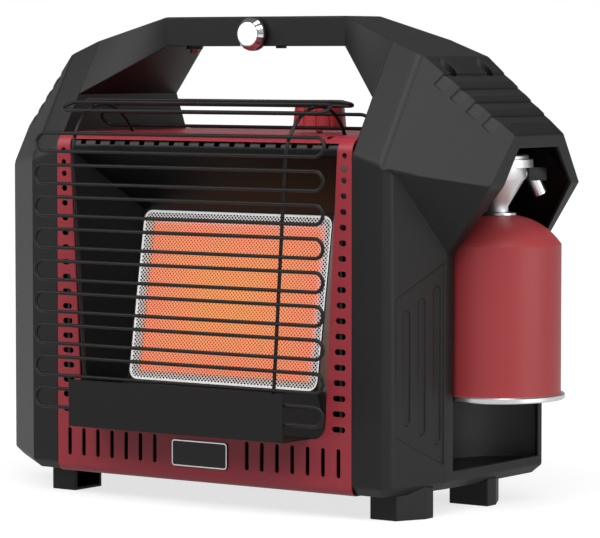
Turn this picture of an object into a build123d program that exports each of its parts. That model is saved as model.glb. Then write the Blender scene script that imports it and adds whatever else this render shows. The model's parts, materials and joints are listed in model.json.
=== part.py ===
from build123d import *
import os
from math import atan2, cos, degrees, radians, sin

# Portable gas heater: a sheet-metal casing with a tilted infrared burner behind a wire guard,
# faceted plastic covers on both sides, a carrying handle with a lamp, and a gas canister that
# hangs from a regulator in a bay in the right-hand cover. Millimetres, +Z up.
# While it is drawn, X = 0 is the middle of the casing and Y = 0 its front face.

os.makedirs("parts", exist_ok=True)

# Stock and gaps
gap = 0.3
running_gap = 0.05
overrun = 6.0
sheet = 1.2
thin_sheet = 0.8
wire = 3.2
edge_share = 0.25
cover_wall = 3.0
handle_wall = 2.5
pipe_radius = 3.0
pipe_bend = 14.0

# Casing
case_half_width = 160.5
case_bottom = 21.3
case_top = 327.0
case_depth = 208.0
bend_radius = 14.0
wall_front = 22.0

# Front opening
opening_bottom = 68.0
opening_top = 321.0
opening_bottom_half = 133.0
opening_top_half = 146.0
opening_corner = 14.0

# Holes and slots in the casing front
side_hole = 5.0
side_slot = 14.0
side_hole_count = 17
side_hole_pitch = 13.24
side_hole_low = 78.0
upper_hole_count = 2
upper_hole_pitch = 10.45
rivet_head = 5.5
rivet_head_height = 0.6
bottom_slot_count = 7
bottom_slot_pitch = 16.1
bottom_slot_width = 4.2
bottom_slot_height = 25.0
bottom_slot_z = 49.0
bottom_slot_outer = 147.0
top_vent_count = 17
top_vent_pitch = 16.5
top_vent_width = 6.0
top_vent_front = 6.0
top_vent_back = 22.0
rear_slot_columns = 9
rear_slot_rows = 5
rear_slot_length = 22.0
rear_slot_width = 4.0
rear_slot_pitch_x = 30.0
rear_slot_pitch_z = 14.0
rear_slot_z = 250.0

# Badge plate
badge_width = 60.0
badge_height = 23.0
badge_thickness = 1.6
badge_rim = 1.0
badge_sink = 0.4
badge_corner = 3.0
badge_z = 47.0

# Vent lip at the top of the opening
lip_sheet = 1.0
lip_bottom = 311.0
lip_back = 26.0
lip_lap = 2.0
lip_vent_bottom = 316.5

# Burner, on a plane that leans back
burner_y = 43.0
burner_z = 181.0
burner_tilt = 9.3
window_half_width = 103.5
window_half_height = 76.5
window_corner = 9.0
frame_border = 2.5
frame_lip = 1.2
mesh_thickness = 0.6
mesh_columns = 20
mesh_rows = 15
mesh_diamond = 5.4
spacer_depth = 6.0
plaque_width = 95.5
plaque_height = 136.0
plaque_depth = 12.0
plaque_seam = 0.6
plaque_recess = 0.5
plenum_depth = 45.0
plenum_ledge = 5.0
plenum_wall = 1.5
funnel_lap = 1.0
bracket_width = 18.0
bracket_foot = 14.0

# Mixing tube, jet and pilot group
tube_flange = 20.0
tube_radius = 13.0
throat_radius = 10.0
mouth_radius = 17.0
tube_length = 56.0
tube_wall = 1.5
jet_bridge_width = 10.0
jet_bridge_depth = 3.0
jet_shank = 3.0
jet_hex = 4.6
jet_hex_sides = 6
jet_length = 8.0
jet_tip = 4.0
jet_bore = 0.8
pilot_x = 36.0
pilot_pitch = 9.0
pilot_radius = 2.0
pilot_rise = 3.0
pilot_drop = 22.0
pilot_bracket_depth = 16.0

# Gas valve and knob
knob_x = 54.0
knob_y = 105.0
knob_base_radius = 24.0
knob_top_radius = 21.5
knob_height = 26.5
knob_lift = 2.5
knob_bore_depth = 19.0
knob_flutes = 12
knob_flute_radius = 1.6
knob_pointer_width = 5.0
knob_pointer_depth = 1.0
stem_radius = 3.0
stem_rise = 14.0
stem_depth = 20.0
stem_flat = 1.0
valve_width = 36.0
valve_depth = 30.0
valve_height = 46.0
valve_boss = 6.0
valve_boss_radius = 6.0
piezo_radius = 6.0
piezo_length = 38.0
switch_box_width = 26.0
switch_box_depth = 20.0
switch_box_height = 24.0

# Canister
can_x = 215.2
can_y = 146.0
can_radius = 55.0
can_wall = 1.0
can_bottom = 97.5
can_shoulder = 232.0
can_dome_mid_radius = 36.5
can_dome_mid_rise = 17.4
can_dome_rise = 25.0
can_neck_radius = 14.0
rim_radius = 58.5
rim_height = 5.0
rim_dish = 6.0
collar_radius = 15.5
collar_height = 2.0
thread_radius = 5.5
thread_height = 8.0

# Regulator over the canister
reg_neck_radius = 8.5
reg_neck_height = 5.0
reg_cone_height = 26.0
reg_radius = 24.0
reg_body_height = 8.0
reg_flange_radius = 30.0
reg_flange_height = 7.0
reg_cap_radius = 26.0
reg_cap_height = 4.0
reg_port_reach = 30.0
reg_port_radius = 5.0
outlet_angle = 60.0
outlet_reach = 26.0
block_length = 18.0
block_width = 14.0
block_height = 12.0
barrel_radius = 6.0
barrel_bore = 3.4
barrel_length = 13.5
barrel_lean = 26.0
barrel_share = 0.38
bracket_plate = 2.0
bracket_margin = 4.0
bracket_upstand = 18.0
grommet_lip = 1.4
grommet_flange = 1.5

# Side covers
cover_bottom = 22.0
cover_back = 238.0
cover_bevel = 8.0
shoulder_front = 311.8
shoulder_back = 222.0
arm_top = 408.5
arm_front_y = 61.0
arm_back_y = 156.0
hood_bend_x = 193.5
hood_bend_z = 395.0
hood_half_width = 268.0
ridge_z = 328.0
ridge_front_y = 88.0
ridge_back_y = 168.0
hood_under_x = 263.0
hood_under_z = 285.0
under_back_y = 203.0
corner_x = 189.5
corner_z = 303.3
brow_x = 190.0
brow_z = 396.3
back_corner_x = 201.0
left_half_width = 266.0
left_facet_y = 66.0
side_front_x = 197.0
side_front_y = 8.0
neck_x = 207.0
neck_y = 77.0
neck_z = 225.5

# Canister bay in the right cover
bay_front_post = 9.5
bay_back_post = 7.0
bay_sill = 16.0
bay_top_border = 11.0
bay_top_corner = 8.0
bay_front_border = 21.5
bay_back_border = 14.0
liner_x = 230.0
liner_lap = 3.0
liner_wall = 1.5
liner_floor = 15.0
liner_top = 280.0

# Details of the covers
groove_shares = (0.22, 0.40, 0.57, 0.745)
groove_width = 10.5
groove_depth = 1.6
recess_reach = 13.5
hood_screw_share = 0.126
hood_screw_front_y = 82.0
hood_screw_back_y = 140.0
hood_screw_depth = 24.0
hood_screw_hole = 8.0
hood_pillar_wall = 3.0
screw_head_radius = 4.2
screw_head_height = 3.0
screw_shank_radius = 2.0
screw_shank_length = 12.0
screw_slot_width = 1.2
screw_slot_depth = 1.4
panel_recess_depth = 0.9
panel_recess_low = 73.0
panel_recess_high = 190.0
panel_recess_flare = 28.0
panel_recess_margin = 4.0
panel_groove_width = 9.0
panel_groove_depth = 1.0
panel_groove_low = 82.0
panel_groove_high = 180.0
panel_groove_step = 9.5
panel_groove_shares = (0.27, 0.55, 0.83)

# Feet
foot_front_y = 26.0
foot_front_depth = 38.0
foot_rear_y = 151.0
foot_rear_depth = 40.0
foot_inner_margin = 1.2
foot_front_x = 188.5
foot_side_inset = 3.5
foot_diagonal = 26.0
foot_wall = 3.0

# Handle
bar_half = 97.8
bar_front = 80.8
bar_back = 136.0
bar_bottom = 403.75
bar_top = 430.0
arm_bottom = 360.3
door_x = 20.0
door_length = 62.0
door_front = 92.0
door_back = 129.0
door_thickness = 2.0
door_pin_radius = 0.7
door_pin_length = 2.0
door_rib_count = 9
door_rib_width = 1.6
door_rib_depth = 0.6
door_tab_width = 9.0
door_tab_depth = 4.0
door_tab_height = 2.0
cell_radius = 5.25
cell_length = 44.5
cell_count = 3
cell_pitch = 11.5
cell_nub_radius = 1.9
cell_nub_length = 0.8
tray_wall = 2.0
tray_height = 12.0
tray_lap = 1.3

# Lamp and its switch
lamp_z = 414.5
lamp_base_radius = 15.0
lamp_base_depth = 4.0
lamp_stem_radius = 7.5
lamp_stem_depth = 8.0
lamp_bezel_radius = 14.5
lamp_bezel_front_radius = 11.4
lamp_bezel_depth = 6.5
lamp_bezel_rim_share = 0.33
lamp_lens_radius = 10.2
lamp_lens_proud = 0.6
lamp_lens_wall = 1.5
lamp_board_radius = 8.0
lamp_board_thickness = 1.6
switch_x = -87.0
switch_y = 108.0
switch_collar_radius = 7.5
switch_collar_height = 2.6
switch_body_radius = 5.6
switch_body_height = 14.0
button_radius = 4.0
button_drop = 6.8
button_rise = 6.0

# Wire guard
guard_front = -35.9
loop_half = 156.0
loop_height = 16.4
loop_count = 8
loop_pitch = 28.37
loop_high = 290.6
arch_y = 13.0
arch_z = 306.5
arch_angles = (165.3, 116.0, 77.0, 41.3)
arch_half_shares = (1.0, 0.917, 0.917, 0.945)
upright_top_x = 115.0
upright_bottom_x = 101.0
upright_bottom = 79.0
weld_gap = 0.05
plate_half = 116.6
plate_top = 109.5
plate_hook = 2.0

# Places worked out from the sizes above
inner_x = case_half_width + gap
frame_half_width = window_half_width + frame_border
frame_half_height = window_half_height + frame_border
pocket_half_width = window_half_width + frame_border / 2
pocket_half_height = window_half_height + frame_border / 2
funnel_front = sheet + lip_sheet + 2 * gap
funnel_top = lip_bottom + lip_sheet
funnel_bottom = opening_bottom - funnel_lap
plenum_front = mesh_thickness + spacer_depth
plenum_back = plenum_front + plenum_depth
pilot_depth = mesh_thickness + spacer_depth / 2
can_dome_top = can_shoulder + can_dome_rise
collar_bottom = can_dome_top + gap
collar_top = collar_bottom + collar_height
reg_bottom = collar_top + gap
reg_cone_bottom = reg_bottom + reg_neck_height
reg_cone_top = reg_cone_bottom + reg_cone_height
reg_flange_bottom = reg_cone_top + reg_body_height
reg_flange_top = reg_flange_bottom + reg_flange_height
port_z = reg_cone_top
block_bottom = reg_flange_bottom - block_height
arm_end = inner_x - gap
pipe_run = 2 * pipe_bend
upright_y = guard_front + wire + weld_gap
arch_radius = arch_y - upright_y
plate_front = guard_front - wire / 2 - weld_gap - sheet
plate_bottom = opening_bottom + weld_gap
lean_run = Vector(upright_top_x - upright_bottom_x, 0, arch_z - upright_bottom)
upright_start = Vector(upright_bottom_x, upright_y, upright_bottom)
back_slope = (cover_back - arm_back_y) / (arm_top - shoulder_back)
front_slope = arm_front_y / (arm_top - shoulder_front)
back_facet_slope = (cover_back - under_back_y) / (hood_under_x - back_corner_x)
neck_back_y = cover_back - (neck_x - back_corner_x) * back_facet_slope
block_size = 2 * (hood_half_width + overrun)
bay_front = neck_y + bay_front_post
bay_back = neck_back_y - bay_back_post
bay_bottom = cover_bottom + bay_sill
liner_face = neck_x - cover_wall - gap
liner_y = (bay_front + bay_back) / 2
liner_half = (bay_back - bay_front) / 2 + liner_lap
liner_radius = (liner_half**2 + (liner_x - liner_face) ** 2) ** 0.5
liner_outer = liner_radius + liner_wall
liner_pass = (liner_outer**2 - (liner_x - inner_x - cover_wall) ** 2) ** 0.5
wall_x = liner_x - liner_outer - gap
hood_screw_x = hood_bend_x + hood_screw_share * (hood_half_width - hood_bend_x)
hood_screw_top = hood_bend_z - hood_screw_share * (hood_bend_z - ridge_z)
hood_screw_seat = hood_screw_top - hood_screw_depth
hood_pillar_bottom = hood_screw_seat - screw_shank_length - cover_wall
knob_taper = degrees(atan2(knob_base_radius - knob_top_radius, knob_height))
rivet_z = side_hole_low + (side_hole_count - 1) * side_hole_pitch + upper_hole_pitch
mid_x = (can_x + rim_radius - left_half_width) / 2
mid_y = (plate_front + cover_back) / 2
to_frame = Location((-mid_x, -mid_y, 0))

burner_plane = Plane(
    origin=(0, burner_y, burner_z),
    x_dir=(1, 0, 0),
    z_dir=(0, -cos(radians(burner_tilt)), sin(radians(burner_tilt))),
)

upright_plane = Plane(
    origin=(upright_top_x, 0, arch_z), x_dir=(0, 1, 0), z_dir=Vector(0, 1, 0).cross(lean_run)
)


def save(piece, name):
    """Label a finished piece, move it to the part's own frame and write its STEP file."""
    piece.part.label = name
    placed = to_frame * piece.part
    placed.label = name
    export_step(placed, f"parts/{name}.step")


def opening_half(z):
    """Half the width of the front opening at height z."""
    share = (z - opening_bottom) / (opening_top - opening_bottom)
    return opening_bottom_half + share * (opening_top_half - opening_bottom_half)


def side_hole_x(z):
    """Middle of the strip beside the opening at height z."""
    return (opening_half(z) + case_half_width) / 2


def front_edge(z):
    """Y of the covers' front slope at height z."""
    return (z - shoulder_front) * front_slope


def back_edge(z):
    """Y of the covers' back slope at height z."""
    return cover_back - (z - shoulder_back) * back_slope


def plane_through(a, b, c):
    """Plane through three points, with its normal by the right-hand rule."""
    first = Vector(*b) - Vector(*a)
    second = Vector(*c) - Vector(*a)
    return Plane(origin=a, x_dir=first, z_dir=first.cross(second))


def plane_y(plane, x, z):
    """Y of a plane at the given x and z."""
    normal = plane.z_dir
    rise = normal.X * (x - plane.origin.X) + normal.Z * (z - plane.origin.Z)
    return plane.origin.Y - rise / normal.Y


def bevel_plane(side):
    """Plane that cuts the bottom edge of an upright side at an angle."""
    origin = (side.origin.X, side.origin.Y, cover_bottom + cover_bevel)
    return Plane(origin=origin, z_dir=side.z_dir + Vector(0, 0, -1))


def trimmed_block(planes, inset):
    """A block cut back to the inner side of each outward plane, moved in by inset."""
    with BuildPart() as block:
        with Locations((0, cover_back / 2, bar_top / 2)):
            Box(block_size, block_size, block_size)
        for plane in planes:
            split(bisect_by=plane.offset(-inset), keep=Keep.BOTTOM)
    return block.part


def upright_wire(radius):
    """Right-hand upright of the guard as a bent wire of the given radius."""
    with BuildPart() as bent_wire:
        with BuildLine(upright_plane):
            Line((upright_y, -lean_run.length), (upright_y, 0))
            CenterArc((arch_y, 0), arch_radius, 180, -180)
        with BuildSketch(Plane(upright_start, z_dir=lean_run)):
            Circle(radius)
        sweep()
    return bent_wire.part


# Casing front and top, one bent sheet
wire_room = upright_wire(wire / 2 + gap)
with BuildPart() as front_panel:
    with BuildSketch(Plane.YZ.offset(-case_half_width)):
        with BuildLine():
            Polyline(
                (0, case_top - bend_radius),
                (0, case_bottom),
                (sheet, case_bottom),
                (sheet, case_top - bend_radius),
            )
            CenterArc((bend_radius, case_top - bend_radius), bend_radius - sheet, 90, 90)
            Polyline(
                (bend_radius, case_top - sheet),
                (case_depth, case_top - sheet),
                (case_depth, case_top),
                (bend_radius, case_top),
            )
            CenterArc((bend_radius, case_top - bend_radius), bend_radius, 90, 90)
        make_face()
    extrude(amount=2 * case_half_width)
    with BuildSketch(Plane.XZ.offset(overrun)) as opening:
        Polygon(
            (-opening_bottom_half, opening_bottom),
            (opening_bottom_half, opening_bottom),
            (opening_top_half, opening_top),
            (-opening_top_half, opening_top),
            align=None,
        )
        fillet(opening.vertices().group_by(Axis.Y)[0], opening_corner)
    extrude(amount=-(overrun + bend_radius), mode=Mode.SUBTRACT)
    with BuildSketch(Plane.XZ.offset(overrun)):
        for row in range(side_hole_count):
            hole_z = side_hole_low + row * side_hole_pitch
            row_share = row / side_hole_count
            slot_width = side_slot + row_share * (side_hole - side_slot)
            hole_x = side_hole_x(hole_z)
            with Locations((hole_x, hole_z), (-hole_x, hole_z)):
                SlotOverall(slot_width, side_hole)
        for row in range(upper_hole_count):
            hole_z = rivet_z + row * upper_hole_pitch
            hole_x = side_hole_x(hole_z)
            with Locations((hole_x, hole_z), (-hole_x, hole_z)):
                Circle(side_hole / 2)
        for slot in range(bottom_slot_count):
            slot_x = bottom_slot_outer - slot * bottom_slot_pitch
            with Locations((slot_x, bottom_slot_z), (-slot_x, bottom_slot_z)):
                SlotOverall(bottom_slot_height, bottom_slot_width, rotation=90)
    extrude(amount=-(overrun + 2 * sheet), mode=Mode.SUBTRACT)
    with BuildSketch(Plane.XY.offset(case_top + overrun)):
        with Locations((0, (top_vent_front + top_vent_back) / 2)):
            with GridLocations(top_vent_pitch, top_vent_pitch, top_vent_count, 1):
                SlotOverall(top_vent_back - top_vent_front, top_vent_width, rotation=90)
    extrude(amount=-(overrun + bend_radius / 2), mode=Mode.SUBTRACT)
    with BuildSketch(Plane.XY.offset(case_top + overrun)):
        with Locations((knob_x, knob_y)):
            Circle(stem_radius + gap)
    extrude(amount=-(overrun + 2 * sheet), mode=Mode.SUBTRACT)
    add(wire_room, mode=Mode.SUBTRACT)
    add(wire_room.mirror(Plane.YZ), mode=Mode.SUBTRACT)
save(front_panel, "front_panel")

# Casing back, base and inner side walls
with BuildPart() as rear_panel:
    with BuildSketch(Plane.XZ.offset(-case_depth)):
        with Locations((0, (case_bottom + case_top - sheet) / 2)):
            Rectangle(2 * case_half_width, case_top - sheet - case_bottom)
        with Locations((0, rear_slot_z)):
            with GridLocations(
                rear_slot_pitch_x, rear_slot_pitch_z, rear_slot_columns, rear_slot_rows
            ):
                SlotOverall(rear_slot_length, rear_slot_width, mode=Mode.SUBTRACT)
    extrude(amount=sheet)
save(rear_panel, "rear_panel")

with BuildPart() as base_pan:
    with BuildSketch(Plane.XY.offset(case_bottom)):
        with Locations((0, case_depth / 2)):
            Rectangle(2 * case_half_width, case_depth - 2 * sheet)
    extrude(amount=sheet)
save(base_pan, "base_pan")

wall_bottom = case_bottom + sheet
wall_height = case_top - sheet - wall_bottom
for side, name in ((-1, "side_wall_left"), (1, "side_wall_right")):
    with BuildPart() as side_wall:
        with BuildSketch(Plane.XY.offset(wall_bottom)):
            with Locations((side * (wall_x - sheet / 2), (wall_front + case_depth - sheet) / 2)):
                Rectangle(sheet, case_depth - sheet - wall_front)
        extrude(amount=wall_height)
        if side > 0:
            with BuildSketch(Plane.YZ.offset(wall_x - overrun)):
                with Locations((can_y, port_z)):
                    Circle(pipe_radius + grommet_lip)
            extrude(amount=2 * overrun, mode=Mode.SUBTRACT)
    save(side_wall, name)

# Slotted lip behind the top edge of the opening
lip_outer = bend_radius - sheet - gap
with BuildPart() as vent_lip:
    with BuildSketch(Plane.YZ.offset(-(opening_top_half + lip_lap))):
        with BuildLine():
            Polyline(
                (bend_radius - lip_outer, case_top - bend_radius),
                (bend_radius - lip_outer, lip_bottom),
                (bend_radius - lip_outer + lip_sheet, lip_bottom),
                (bend_radius - lip_outer + lip_sheet, case_top - bend_radius),
            )
            CenterArc((bend_radius, case_top - bend_radius), lip_outer - lip_sheet, 90, 90)
            Polyline(
                (bend_radius, case_top - bend_radius + lip_outer - lip_sheet),
                (lip_back, case_top - bend_radius + lip_outer - lip_sheet),
                (lip_back, case_top - bend_radius + lip_outer),
                (bend_radius, case_top - bend_radius + lip_outer),
            )
            CenterArc((bend_radius, case_top - bend_radius), lip_outer, 90, 90)
        make_face()
    extrude(amount=2 * (opening_top_half + lip_lap))
    with BuildSketch(Plane.XY.offset(lip_vent_bottom)):
        with Locations((0, top_vent_back / 2)):
            with GridLocations(top_vent_pitch, top_vent_pitch, top_vent_count, 1):
                SlotOverall(top_vent_back, top_vent_width, rotation=90)
    extrude(amount=case_top - lip_vent_bottom, mode=Mode.SUBTRACT)
save(vent_lip, "vent_lip")

# Reflector sheets, from the opening back to the burner frame
front_plane = Plane.XZ.offset(-funnel_front)
back_plane = burner_plane.offset(frame_lip + gap)
for sign, front_z, name in (
    (1, funnel_top, "upper_reflector"),
    (-1, funnel_bottom, "lower_reflector"),
):
    with BuildPart() as reflector:
        front_half = opening_half(front_z) + funnel_lap + thin_sheet
        back_half = pocket_half_width + thin_sheet
        with BuildSketch(front_plane):
            with Locations((0, front_z + sign * thin_sheet / 2)):
                Rectangle(2 * front_half, thin_sheet)
        with BuildSketch(back_plane):
            with Locations((0, sign * (pocket_half_height + thin_sheet / 2))):
                Rectangle(2 * back_half, thin_sheet)
        loft(ruled=True)
    save(reflector, name)

for sign, name in ((-1, "side_reflector_left"), (1, "side_reflector_right")):
    with BuildPart() as side_reflector:
        low_x = opening_half(funnel_bottom) + funnel_lap
        high_x = opening_half(funnel_top) + funnel_lap
        with BuildSketch(front_plane):
            Polygon(
                (sign * low_x, funnel_bottom + gap),
                (sign * (low_x + thin_sheet), funnel_bottom + gap),
                (sign * (high_x + thin_sheet), funnel_top - gap),
                (sign * high_x, funnel_top - gap),
                align=None,
            )
        with BuildSketch(back_plane):
            Polygon(
                (sign * pocket_half_width, gap - pocket_half_height),
                (sign * (pocket_half_width + thin_sheet), gap - pocket_half_height),
                (sign * (pocket_half_width + thin_sheet), pocket_half_height - gap),
                (sign * pocket_half_width, pocket_half_height - gap),
                align=None,
            )
        loft(ruled=True)
    save(side_reflector, name)

# Badge plate with a raised rim, and the rivet in the right-hand hole column
with BuildPart() as badge_plate:
    with BuildSketch(Plane.XZ):
        with Locations((0, badge_z)):
            RectangleRounded(badge_width, badge_height, badge_corner)
    extrude(amount=badge_thickness)
    with BuildSketch(Plane.XZ.offset(badge_thickness)):
        with Locations((0, badge_z)):
            RectangleRounded(
                badge_width - 2 * badge_rim, badge_height - 2 * badge_rim, badge_corner - badge_rim
            )
    extrude(amount=-badge_sink, mode=Mode.SUBTRACT)
save(badge_plate, "badge_plate")

rivet_plane = Plane(origin=(side_hole_x(rivet_z), 0, rivet_z), x_dir=(1, 0, 0), z_dir=(0, -1, 0))
with BuildPart() as panel_rivet:
    with BuildSketch(rivet_plane):
        Circle(rivet_head / 2)
    extrude(amount=rivet_head_height)
    fillet(panel_rivet.faces().sort_by(Axis.Y)[0].edges(), rivet_head_height / 2)
    with BuildSketch(rivet_plane):
        Circle(side_hole / 2 - gap)
    extrude(amount=-2 * sheet)
save(panel_rivet, "panel_rivet")

# Burner frame, mesh, spacer, plaques and plenum
with BuildPart() as burner_frame:
    with BuildSketch(burner_plane.offset(-mesh_thickness)):
        Rectangle(2 * frame_half_width, 2 * frame_half_height)
        RectangleRounded(
            2 * window_half_width, 2 * window_half_height, window_corner, mode=Mode.SUBTRACT
        )
    extrude(amount=mesh_thickness + frame_lip)
    with BuildSketch(burner_plane.offset(-mesh_thickness)):
        Rectangle(2 * pocket_half_width, 2 * pocket_half_height)
    extrude(amount=mesh_thickness, mode=Mode.SUBTRACT)
save(burner_frame, "burner_frame")

with BuildPart() as burner_mesh:
    with BuildSketch(burner_plane.offset(-mesh_thickness)):
        Rectangle(2 * (pocket_half_width - gap), 2 * (pocket_half_height - gap))
        with GridLocations(
            2 * window_half_width / mesh_columns,
            2 * window_half_height / mesh_rows,
            mesh_columns,
            mesh_rows,
        ):
            Rectangle(mesh_diamond, mesh_diamond, rotation=45, mode=Mode.SUBTRACT)
    extrude(amount=mesh_thickness)
save(burner_mesh, "burner_mesh")

pilot_names = ("pilot_burner", "ignition_electrode", "thermocouple")
plaque_room_width = 2 * plaque_width + plaque_seam + 2 * gap
plaque_room_height = plaque_height + 2 * gap
plenum_half_width = plaque_room_width / 2 + plenum_wall
with BuildPart() as burner_spacer:
    with BuildSketch(burner_plane.offset(-mesh_thickness)):
        Rectangle(2 * pocket_half_width, 2 * pocket_half_height)
        Rectangle(plaque_room_width, plaque_room_height, mode=Mode.SUBTRACT)
    extrude(amount=-spacer_depth)
    with BuildSketch(burner_plane.offset(-pilot_depth)):
        for place in range(len(pilot_names)):
            with Locations((pilot_x + place * pilot_pitch, -pocket_half_height)):
                Rectangle(
                    2 * (pilot_radius + gap),
                    2 * (pocket_half_height - plaque_room_height / 2 + gap),
                )
    extrude(amount=pilot_radius + gap, both=True, mode=Mode.SUBTRACT)
save(burner_spacer, "burner_spacer")

for sign, name in ((-1, "ceramic_plaque_left"), (1, "ceramic_plaque_right")):
    with BuildPart() as ceramic_plaque:
        with BuildSketch(burner_plane.offset(-(plenum_front + plaque_recess))):
            with Locations((sign * (plaque_width + plaque_seam) / 2, 0)):
                Rectangle(plaque_width, plaque_height)
        extrude(amount=-plaque_depth)
    save(ceramic_plaque, name)

with BuildPart() as burner_plenum:
    with BuildSketch(burner_plane.offset(-plenum_front)):
        Rectangle(2 * pocket_half_width, 2 * pocket_half_height)
    extrude(amount=-plenum_wall)
    with BuildSketch(burner_plane.offset(-plenum_front)):
        Rectangle(2 * plenum_half_width, plaque_room_height + 2 * plenum_wall)
    extrude(amount=-plenum_depth)
    with BuildSketch(burner_plane.offset(-plenum_front)):
        Rectangle(plaque_room_width, plaque_room_height)
    extrude(amount=-(plaque_recess + plaque_depth), mode=Mode.SUBTRACT)
    with BuildSketch(burner_plane.offset(-plenum_back + plenum_wall)):
        Rectangle(plaque_room_width, plaque_room_height)
    extrude(amount=plenum_depth - plaque_recess - plaque_depth - 2 * plenum_wall, mode=Mode.SUBTRACT)
    with BuildSketch(burner_plane.offset(-plenum_front)):
        Rectangle(plaque_room_width - 2 * plenum_ledge, plaque_room_height - 2 * plenum_ledge)
    extrude(amount=-(plenum_depth - plenum_wall), mode=Mode.SUBTRACT)
    with BuildSketch(burner_plane.offset(-plenum_back)):
        Circle(tube_radius - tube_wall)
    extrude(amount=2 * plenum_wall, mode=Mode.SUBTRACT)
save(burner_plenum, "burner_plenum")

bracket_y = burner_y + plenum_front + plenum_depth / 2
bracket_height = burner_z - wall_bottom
for sign, name in ((-1, "burner_bracket_left"), (1, "burner_bracket_right")):
    with BuildPart() as burner_bracket:
        with BuildSketch(Plane.XY.offset(wall_bottom)):
            with Locations((sign * (plenum_half_width + sheet / 2), bracket_y)):
                Rectangle(sheet, bracket_width)
        extrude(amount=bracket_height)
        with BuildSketch(Plane.XY.offset(wall_bottom)):
            with Locations((sign * (plenum_half_width + bracket_foot / 2), bracket_y)):
                Rectangle(bracket_foot, bracket_width)
        extrude(amount=sheet)
    save(burner_bracket, name)

# Mixing tube with the bridge that carries the jet, and the jet itself
tube_plane = burner_plane.offset(-plenum_back)
tube_axis = Axis(tube_plane.origin, -tube_plane.z_dir)
tube_section = Plane(tube_plane.origin, x_dir=tube_plane.x_dir, z_dir=tube_plane.y_dir)
with BuildPart() as mixing_tube:
    with BuildSketch(tube_section):
        Polygon(
            (tube_radius - tube_wall, 0),
            (tube_flange, 0),
            (tube_flange, tube_wall),
            (tube_radius, tube_wall),
            (throat_radius, tube_length / 2),
            (mouth_radius, tube_length),
            (mouth_radius - tube_wall, tube_length),
            (throat_radius - tube_wall, tube_length / 2),
            align=None,
        )
    revolve(axis=tube_axis)
    with BuildSketch(tube_plane.offset(-tube_length)):
        Rectangle(2 * mouth_radius, jet_bridge_width)
        Circle(jet_shank + running_gap, mode=Mode.SUBTRACT)
    extrude(amount=-jet_bridge_depth)
save(mixing_tube, "mixing_tube")

with BuildPart() as gas_jet:
    with BuildSketch(tube_plane.offset(-(tube_length - jet_tip))):
        Circle(jet_shank)
    extrude(amount=-(jet_tip + jet_bridge_depth))
    with BuildSketch(tube_plane.offset(-(tube_length + jet_bridge_depth))):
        RegularPolygon(jet_hex, jet_hex_sides)
    extrude(amount=-jet_length)
    with BuildSketch(tube_plane.offset(-(tube_length - jet_tip))):
        Circle(jet_bore)
    extrude(amount=-(jet_tip + jet_bridge_depth), mode=Mode.SUBTRACT)
save(gas_jet, "gas_jet")

# Pilot group under the burner: bracket, pilot burner, electrode and thermocouple
pilot_bracket_width = (len(pilot_names) + 1) * pilot_pitch
with BuildPart() as pilot_bracket:
    with BuildSketch(burner_plane.offset(-plenum_front)):
        with Locations((pilot_x + pilot_pitch, -(pocket_half_height + pilot_bracket_depth / 2))):
            Rectangle(pilot_bracket_width, pilot_bracket_depth)
    extrude(amount=-sheet)
    with BuildSketch(burner_plane.offset(-plenum_front)):
        with Locations((pilot_x + pilot_pitch, -(pocket_half_height + pilot_bracket_depth))):
            Rectangle(pilot_bracket_width, sheet)
    extrude(amount=spacer_depth)
    with BuildSketch(burner_plane.offset(-pilot_depth)):
        for place in range(len(pilot_names)):
            with Locations(
                (
                    pilot_x + place * pilot_pitch,
                    -(pocket_half_height + pilot_bracket_depth),
                )
            ):
                Rectangle(2 * (pilot_radius + running_gap), 2 * sheet)
    extrude(amount=pilot_radius + running_gap, both=True, mode=Mode.SUBTRACT)
save(pilot_bracket, "pilot_bracket")

pilot_length = pilot_drop + pilot_rise + pocket_half_height - plaque_height / 2
for place, name in enumerate(pilot_names):
    with BuildPart() as pilot_rod:
        rod_origin = burner_plane.from_local_coords(
            (pilot_x + place * pilot_pitch, -(pocket_half_height + pilot_drop), -pilot_depth)
        )
        with BuildSketch(Plane(rod_origin, x_dir=(1, 0, 0), z_dir=burner_plane.y_dir)):
            Circle(pilot_radius)
        extrude(amount=pilot_length)
    save(pilot_rod, name)

# Gas valve under the top plate, with its stem and the knob on it
valve_top = case_top - sheet
knob_bottom = case_top + knob_lift
with BuildPart() as gas_valve:
    with BuildSketch(Plane.XY.offset(valve_top)):
        with Locations((knob_x, knob_y)):
            Rectangle(valve_width, valve_depth)
            Circle(stem_radius + running_gap, mode=Mode.SUBTRACT)
    extrude(amount=-stem_depth)
    with BuildSketch(Plane.XY.offset(valve_top - stem_depth)):
        with Locations((knob_x, knob_y)):
            Rectangle(valve_width, valve_depth)
    extrude(amount=-(valve_height - stem_depth))
    with BuildSketch(Plane.YZ.offset(knob_x + valve_width / 2)):
        with Locations((knob_y, port_z)):
            Circle(valve_boss_radius)
    extrude(amount=valve_boss)
    with BuildSketch(Plane.XZ.offset(-(knob_y + valve_depth / 2))):
        with Locations((knob_x, port_z)):
            Circle(valve_boss_radius)
    extrude(amount=-valve_boss)
save(gas_valve, "gas_valve")

with BuildPart() as valve_stem:
    with BuildSketch(Plane.XY.offset(valve_top - stem_depth + gap)):
        with Locations((knob_x, knob_y)):
            Circle(stem_radius)
    extrude(amount=knob_bottom + stem_rise - valve_top + stem_depth - gap)
    with BuildSketch(Plane.XY.offset(case_top)):
        with Locations((knob_x, knob_y + 2 * stem_radius - stem_flat)):
            Rectangle(2 * stem_radius, 2 * stem_radius)
    extrude(amount=knob_lift + stem_rise, mode=Mode.SUBTRACT)
save(valve_stem, "valve_stem")

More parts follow.
